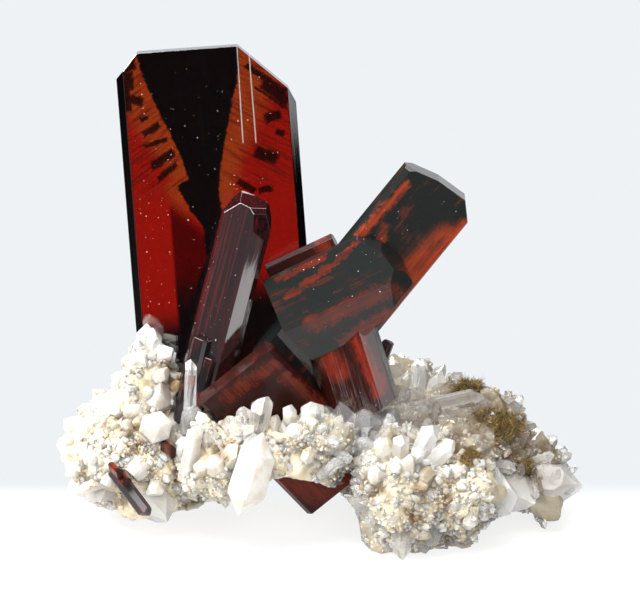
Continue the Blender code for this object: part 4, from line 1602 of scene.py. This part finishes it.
class Moss:
    """Brown fibres in clumps on the quartz: thin three-sided needles in one mesh."""

    density = 165.0
    length = (0.25, 0.8)
    radius = 0.03

    def __init__(self, skin: Skin) -> None:
        """Keeps the skin and starts the random numbers."""
        self.skin = skin
        self.rng = np.random.default_rng(51)

    def build(self, finish: Material) -> Object:
        """Builds the fibres.

        Feet are spread over the lumps' skin inside the patches, and lifted by up to 0.5 mm to make thick
        clumps. Each fibre has three corners round its foot and one at its tip, and leans off at random.
        """
        rng = self.rng
        feet, outs = [], []
        for lump in LUMPS:
            radii = np.array(lump.radii)
            count = int(4.0 * math.pi * radii[0] * radii[2] * self.density)
            places, outward = self.skin.at(np.array(lump.centre), radii, unit(rng.normal(size=(count, 3))))
            kept = in_moss(places) & ~deep_in_lumps(places, 0.9, lump) & (outward[:, 1] < 0.5)
            feet.append(places[kept])
            outs.append(outward[kept])
        feet, outward = np.concatenate(feet), np.concatenate(outs)
        count = len(feet)
        feet = feet + outward * rng.uniform(-0.1, 0.5, (count, 1))
        along = unit(outward + 1.1 * rng.normal(size=(count, 3)))
        axes = standing_axes(feet, feet + along)
        around = np.arange(3) * 2.0 * math.pi / 3
        own = np.zeros((count, 4, 3))
        own[:, :3, 0] = self.radius * np.cos(around)
        own[:, :3, 1] = self.radius * np.sin(around)
        own[:, 3, 2] = rng.uniform(*self.length, count)
        placed = (own @ axes + feet[:, None]).reshape(-1, 3)
        sides = np.array([[0, 1, 3], [1, 2, 3], [2, 0, 3], [2, 1, 0]])
        faces = (sides + (np.arange(count) * 4)[:, None, None]).reshape(-1, 3)
        tone = np.repeat(rng.uniform(0.0, 1.0, count) ** 1.5, 4)
        return quartz_piece("brown_moss", placed, faces, finish, tone=tone, stain=np.zeros(count * 4))


class Dust:
    """White specks on the brookites' broad faces: tiny flat octahedra in one mesh."""

    counts = ((TALL_BLADE, 170), (FRONT_PRISM, 40), (UPPER_BLADE, 30), (CROSSING_PRISM, 35), (STUB_PRISM, 15))

    def build(self, finish: Material) -> Object:
        """Builds the specks, each at a random place of a front face, with corners 0.007 to 0.055 mm out."""
        rng = np.random.default_rng(61)
        points = np.array([[1, 0, 0], [-1, 0, 0], [0, 0.4, 0], [0, -0.4, 0], [0, 0, 1], [0, 0, -1]], float)
        placed = []
        for prism, count in self.counts:
            middle = np.column_stack(
                [
                    (rng.uniform(0.0, 1.0, count) ** 1.5 * 0.8 - 0.42) * prism.breadth,
                    np.full(count, -prism.thickness / 2),
                    -rng.uniform(0.05, 0.75, count) * prism.length,
                ]
            )
            size = rng.uniform(0.0, 1.0, (count, 1, 1)) ** 3 * 0.030 + 0.012
            own = middle[:, None] + points * size * rng.uniform(0.6, 1.3, (count, 6, 1))
            axes = standing_axes(prism.foot, prism.tip)
            placed.append(own.reshape(-1, 3) @ prism.swing.T @ axes + np.array(prism.tip))
        places = np.concatenate(placed)
        octants = itertools.product((0, 1), (2, 3), (4, 5))
        sides = [[a, b, c] if (a < 1) ^ (b > 2) ^ (c > 4) else [b, a, c] for a, b, c in octants]
        faces = (np.array(sides) + (np.arange(len(places) // 6) * 6)[:, None, None]).reshape(-1, 3)
        return new_piece("dust_specks", places, faces, finish)


# Studio


@dataclass(frozen=True)
class Softbox:
    """A rectangular soft light, in metres and watts."""

    name: str
    place: Triple
    aim: Triple
    width: float
    height: float
    power: float
    mirrored: bool = True

    def build(self) -> Object:
        """Hangs the light, facing its aim."""
        lamp = bpy.data.lights.new(self.name, "AREA")
        lamp.shape = "RECTANGLE"
        lamp.size = self.width
        lamp.size_y = self.height
        lamp.energy = self.power
        made = linked(self.name, lamp)
        made.matrix_world = looking(self.place, self.aim)
        made.visible_glossy = self.mirrored
        made.visible_transmission = self.mirrored
        return made


def looking(place: Triple, aim: Triple) -> Matrix:
    """The placing of a light or camera at a place, looking at its aim."""
    made = (Vector(aim) - Vector(place)).to_track_quat("-Z", "Y").to_matrix().to_4x4()
    made.translation = Vector(place)
    return made


CYCLES_SETTINGS = {
    "use_denoising": True,
    "use_adaptive_sampling": True,
    "adaptive_threshold": 0.02,
    "max_bounces": 12,
    "diffuse_bounces": 3,
    "glossy_bounces": 4,
    "transmission_bounces": 10,
    "sample_clamp_indirect": 4.0,
    "caustics_reflective": False,
    "caustics_refractive": False,
}


@dataclass(frozen=True)
class Studio:
    """A small pale table, a room that is pale behind and dark in front, soft lights and the camera."""

    table: Triple = (0.050, -0.036, 0.30)
    backdrop: Colour = (0.855, 0.888, 0.913, 1.0)
    shade: Colour = (0.006, 0.006, 0.007, 1.0)
    low_shade: Colour = (0.14, 0.155, 0.15, 1.0)
    lights: tuple[Softbox, ...] = (
        Softbox("key_light", (-0.15, -0.16, 0.50), (0.0, 0.0, 0.01), 0.40, 0.36, 4.4),
        Softbox("top_light", (0.10, 0.14, 0.45), (0.0, 0.02, 0.01), 0.30, 0.30, 1.0),
        Softbox("left_wash", (-0.26, 0.06, 0.24), (-0.012, 0.0, 0.01), 0.18, 0.18, 1.5),
        Softbox("left_card", (-0.34, -0.20, 0.10), (0.0, 0.0, 0.015), 0.24, 0.36, 0.03),
        Softbox("right_card", (0.30, -0.05, 0.108), (0.0, -0.05, 0.108), 0.30, 0.20, 0.17),
        Softbox("front_fill", (0.05, -0.50, 0.28), (0.0, 0.0, 0.01), 0.30, 0.16, 1.3),
        Softbox("low_fill", (0.02, -0.42, 0.10), (0.0, 0.0, 0.005), 0.30, 0.20, 0.25, False),
        Softbox("left_fill", (-0.24, -0.18, 0.10), (-0.014, 0.0, 0.006), 0.16, 0.16, 0.8, False),
    )
    distance: float = 0.45
    aim_height: float = 16.575 * MM
    def floor(self) -> Object:
        """The table's flat top, white round the specimen. Behind, it fades to the backdrop's tone."""
        half_width, front, back = self.table
        ends = ((-half_width, front), (half_width, front), (half_width, back), (-half_width, back))
        corners = [(*end, 0.0) for end in ends]
        mesh = bpy.data.meshes.new("floor")
        mesh.from_pydata(corners, [], [(0, 1, 2, 3)])
        made, net, shader = Surface("floor_paper", grey(0.22), 0.9, specular=0.0).make()
        away = net.node("SeparateXYZ", {0: net.node("TexCoord").outputs["Object"]}).outputs["Y"]
        share = net.step(away, 0.001, 0.012)
        net.feed(shader.inputs["Base Color"], net.mix(share, grey(0.22), grey(0.0)))
        net.feed(shader.inputs["Emission Color"], net.mix(share, grey(0.80), self.backdrop))
        shader.inputs["Emission Strength"].default_value = 1.0
        mesh.materials.append(made)
        floor = linked("floor", mesh)
        return floor

    def room(self) -> None:
        """The room: the camera sees an even backdrop, the crystals see it behind and shade in front."""
        world = bpy.data.worlds.new("room")
        world.use_nodes = True
        net = Net(world.node_tree)
        toward = net.node("SeparateXYZ", {0: net.node("TexCoord").outputs["Generated"]}).outputs
        behind = net.step(toward["Y"], 0.90, 0.97)
        below = net.step(toward["Z"], -0.36, -0.20, 1.0, 0.0)
        below = net.times(below, net.step(toward["Z"], -0.70, -0.52))
        shade = net.mix(below, self.shade, self.low_shade)
        seen = net.node("LightPath").outputs["Is Camera Ray"]
        share = net.most(behind, seen)
        background = world.node_tree.nodes["Background"]
        net.feed(background.inputs[0], net.mix(share, shade, self.backdrop))
        bpy.context.scene.world = world

    def camera(self) -> Object:
        """A long lens that looks down by the view's slope. Its aim stands square to the view."""
        sine, cosine = math.sin(VIEW_SLOPE), math.cos(VIEW_SLOPE)
        aim = (0.0, self.aim_height * sine, self.aim_height * cosine)
        place = (0.0, aim[1] - self.distance * cosine, aim[2] + self.distance * sine)
        lens = bpy.data.cameras.new("camera")
        lens.lens = 337.5
        lens.sensor_width = 36.0
        lens.clip_start = 0.01
        made = linked("camera", lens)
        made.matrix_world = looking(place, aim)
        bpy.context.scene.camera = made
        return made

    def build(self) -> None:
        """Sets up the studio."""
        self.room()
        self.floor()
        for light in self.lights:
            light.build()
        self.camera()
        bpy.context.scene.view_settings.view_transform = "Standard"
        for name, value in CYCLES_SETTINGS.items():
            setattr(bpy.context.scene.cycles, name, value)


# The specimen


class Specimen:
    """All pieces of the specimen in the order in which they are built."""

    def __init__(self) -> None:
        """Makes the shared effects and the waves of the rims of the stains and painted shade."""
        self.lines = growth_lines()
        self.marks = stains()
        self.ragged = Waves(21, 0.4, 2.0)

    def brookites(self) -> None:
        """The dark crystals."""
        finishes = (
            BrookiteFinish("dark_brookite", BrookiteLook.DARK, 0.15, ior=1.6, roughness=0.14),
            BrookiteFinish("gunmetal_brookite", BrookiteLook.DARK, 0.0, ior=1.6, roughness=0.5),
            BrookiteFinish("zoned_brookite", BrookiteLook.HOURGLASS, 0.85),
            BrookiteFinish("maroon_brookite", BrookiteLook.MAROON, 0.2, line_height=0.0015),
            # The upper and crossing crystals have a low IOR, so their base colour carries a painted grey
            # sheen in place of reflection.
            BrookiteFinish("upper_brookite", BrookiteLook.UPPER, 0.35, ior=1.5),
            BrookiteFinish("crossing_brookite", BrookiteLook.CROSSING, 0.25, ior=1.36),
            BrookiteFinish("stub_brookite", BrookiteLook.STUB, 0.35, ior=2.2, line_height=0.010),
            BrookiteFinish("plate_brookite", BrookiteLook.PLATE, 0.35, 1.25, 0.22, 0.006),
        )
        dark, gunmetal, zoned, maroon, upper, crossing, stub, plate = (
            finish.make(self.lines) for finish in finishes
        )
        plan = (
            (TALL_BLADE, "tall_blade", zoned),
            (FRONT_PRISM, "front_prism", maroon),
            *((rootlet, "front_prism", dark) for rootlet in ROOTLETS),
            (UPPER_BLADE, "crossed_cluster", upper),
            (CROSSING_PRISM, "crossed_cluster", crossing),
            (PARALLEL_PRISM, "crossed_cluster", plate),
            (STUB_PRISM, "crossed_cluster", stub),
            (THROUGH_PLATE, "crossed_cluster", plate),
            (SMALL_PRISM, "small_prism", gunmetal),
            *((chip, "small_prism", plate) for chip in CHIPS),
            (BACK_PRISM, "back_prism", dark),
        )
        for number, (prism, node, finish) in enumerate(plan):
            piece = Brookite(prism, 100 + number).build(finish)
            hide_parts(node)

    def quartzes(self) -> None:
        """The matrix."""
        rock, milky, clear, cloudy, sugary, fibre = (finish.make(self.marks) for finish in QUARTZ_FINISHES)
        skin = Skin()
        QuartzRock(skin, self.ragged).build(rock)
        rng = np.random.default_rng(1)
        tones = np.random.default_rng(2)
        solids = QuartzSolids()
        crust = []
        for lump in LUMPS:
            for point in crust_points(lump, rng):
                solids.add(point, rng.uniform(0.0, 1.0, 3), float(tones.uniform(0.75, 1.0)))
                crust.append(point)
        for point in LARGE_POINTS.values():
            solids.add(point, rng.uniform(0.0, 1.0, 6), float(tones.uniform(1.0, 1.2)))
        for clarity, finish in ((MILKY, milky), (CLOUDY, cloudy), (CLEAR, clear)):
            solids.build(clarity, finish, self.ragged)
        blocks = DruseSize(0.22, (0.32, 0.66), (1.2, 2.4), 0.8)
        crystals = DruseSize(6.4, (0.12, 0.32), (0.9, 2.3), 0.9)
        sugar = DruseSize(7.6, (0.08, 0.16), (0.6, 2.0), 1.1, 1.0)
        grains = DruseSize(7.6, (0.05, 0.11), (0.6, 2.0), 1.1, 1.0)
        for name, seed, size, finish, chooser in (
            ("milky_blocks", 31, blocks, milky, milky_share),
            ("clear_blocks", 32, blocks, clear, clear_share),
            ("milky_druse", 33, crystals, milky, milky_share),
            ("clear_druse", 34, crystals, clear, clear_share),
            ("sugar_druse", 35, sugar, sugary, milky_share),
            ("grain_druse", 36, grains, sugary, milky_share),
        ):
            druse = Druse(name, seed, size, skin)
            feet, outward = druse.on_lumps()
            if size in (sugar, grains):
                more, further = druse.on_points([point for point in crust if point.clarity is MILKY])
                feet, outward = np.concatenate([feet, more]), np.concatenate([outward, further])
            made = druse.build(*druse.open_places(feet, outward, chooser), finish, self.ragged)
            made.visible_shadow = finish is not clear
        Moss(skin).build(fibre)
        Dust().build(Surface("white_dust", grey(0.85), 0.9).make()[0])


def main() -> None:
    """Builds the specimen and its studio, in order."""
    logging.basicConfig(level=logging.INFO, format="%(message)s")
    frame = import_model()
    log.info("frame: %s", frame)
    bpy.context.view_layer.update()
    specimen = Specimen()
    specimen.brookites()
    specimen.quartzes()
    Studio().build()
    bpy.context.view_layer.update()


if __name__ == "__main__":
    main()
